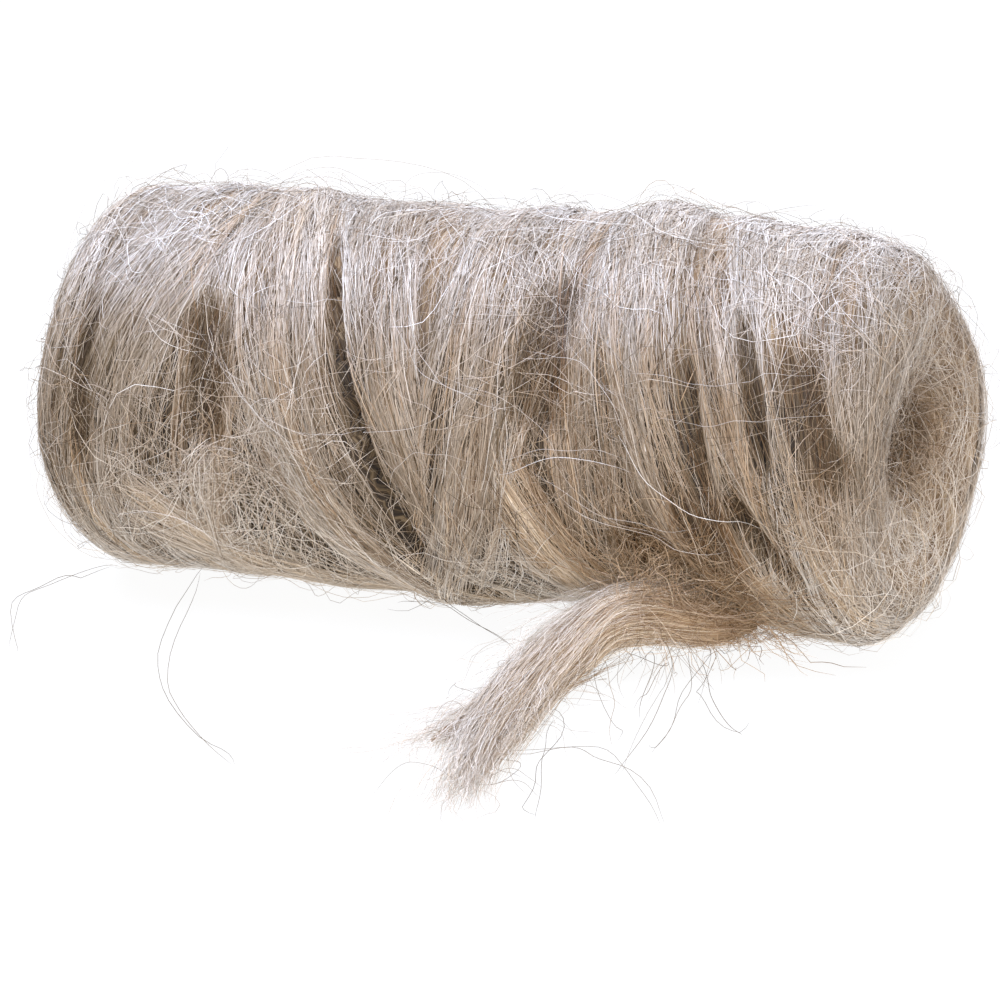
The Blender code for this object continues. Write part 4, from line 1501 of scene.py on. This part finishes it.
class HEMP_OT_stage(bpy.types.Operator):
    """Set the plain pale floor, the soft light and the camera"""
    bl_idname = "hemp.stage"
    bl_label = "Stage"

    def execute(self, context):
        stage = context.scene.hemp_stage
        corners = [(-FLOOR_HALF, -FLOOR_HALF, -FLOOR_DROP), (FLOOR_HALF, -FLOOR_HALF, -FLOOR_DROP),
                   (FLOOR_HALF, FLOOR_HALF, -FLOOR_DROP), (-FLOOR_HALF, FLOOR_HALF, -FLOOR_DROP)]
        floor = mesh_object("floor", corners, [(0, 1, 2, 3)])
        glass, _, shader = new_material("Opal glass of a light table")
        shader.inputs["Base Color"].default_value = (*stage.floor_colour, 1.0)
        shader.inputs["Roughness"].default_value = 0.9
        shader.inputs["Specular IOR Level"].default_value = 0.1
        shader.inputs["Emission Color"].default_value = (1.0, 1.0, 1.0, 1.0)
        shader.inputs["Emission Strength"].default_value = stage.floor_glow
        floor.data.materials.append(glass)
        world = bpy.data.worlds.new("Soft white room")
        world.use_nodes = True
        background = world.node_tree.nodes["Background"]
        background.inputs["Color"].default_value = linear("#fff8ee")
        background.inputs["Strength"].default_value = stage.room_light
        context.scene.world = world
        middle = (ROLL_BOX[0] + ROLL_BOX[1]) / 2
        for lamp in LAMPS:
            area_light(lamp, middle, getattr(stage, lamp.name + "_power"))
        place_camera(context.scene, stage)
        context.scene.view_settings.view_transform = "Standard"
        return {"FINISHED"}


AIM = Vector((-3.25, 3.14, 11.65)) * MM      # the point the camera looks at, below the axis' middle
FRAME_WIDTH = 0.1455                         # what the frame spans at that point
SENSOR = 36.0


def place_camera(scene, stage):
    """The camera, at its distance and angles from the point it looks at."""
    camera = bpy.data.cameras.new("camera")
    camera.sensor_width = SENSOR
    camera.lens = SENSOR * stage.camera_distance / FRAME_WIDTH
    camera.clip_end = 20.0
    azimuth = stage.camera_azimuth
    elevation = stage.camera_elevation
    back = Vector((math.sin(azimuth) * math.cos(elevation), -math.cos(azimuth) * math.cos(elevation),
                   math.sin(elevation)))
    right = Vector((math.cos(azimuth), math.sin(azimuth), 0.0))
    up = back.cross(right)
    turned = Matrix.Rotation(stage.camera_tilt, 3, back)
    axes = Matrix((turned @ right, turned @ up, back)).transposed()
    obj = new_object("camera", camera)
    obj.matrix_world = Matrix.Translation(AIM + back * stage.camera_distance) @ axes.to_4x4()
    scene.camera = obj


class HEMP_PT_panel(bpy.types.Panel):
    bl_idname = "HEMP_PT_panel"
    bl_label = "Plumbing hemp roll"
    bl_space_type = "VIEW_3D"
    bl_region_type = "UI"
    bl_category = "Hemp"

    def draw(self, context):
        for settings in (context.scene.hemp_roll, context.scene.hemp_stage):
            box = self.layout.box()
            for name in settings.bl_rna.properties.keys():
                if name not in ("rna_type", "name"):
                    box.prop(settings, name)
        for operator in OPERATORS:
            self.layout.operator(operator.bl_idname)


OPERATORS = (HEMP_OT_matted_bed, HEMP_OT_strands, HEMP_OT_filling, HEMP_OT_ends, HEMP_OT_flyaways,
             HEMP_OT_loose_end, HEMP_OT_stage)
CLASSES = (HempRollSettings, HempStageSettings, *OPERATORS, HEMP_PT_panel)


def register():
    for cls in CLASSES:
        bpy.utils.register_class(cls)
    bpy.types.Scene.hemp_roll = PointerProperty(type=HempRollSettings)
    bpy.types.Scene.hemp_stage = PointerProperty(type=HempStageSettings)


def unregister():
    del bpy.types.Scene.hemp_stage
    del bpy.types.Scene.hemp_roll
    for cls in reversed(CLASSES):
        bpy.utils.unregister_class(cls)


def main():
    register()
    for operator in OPERATORS:
        group, name = operator.bl_idname.split(".")
        getattr(getattr(bpy.ops, group), name)()


if __name__ == "__main__":
    main()
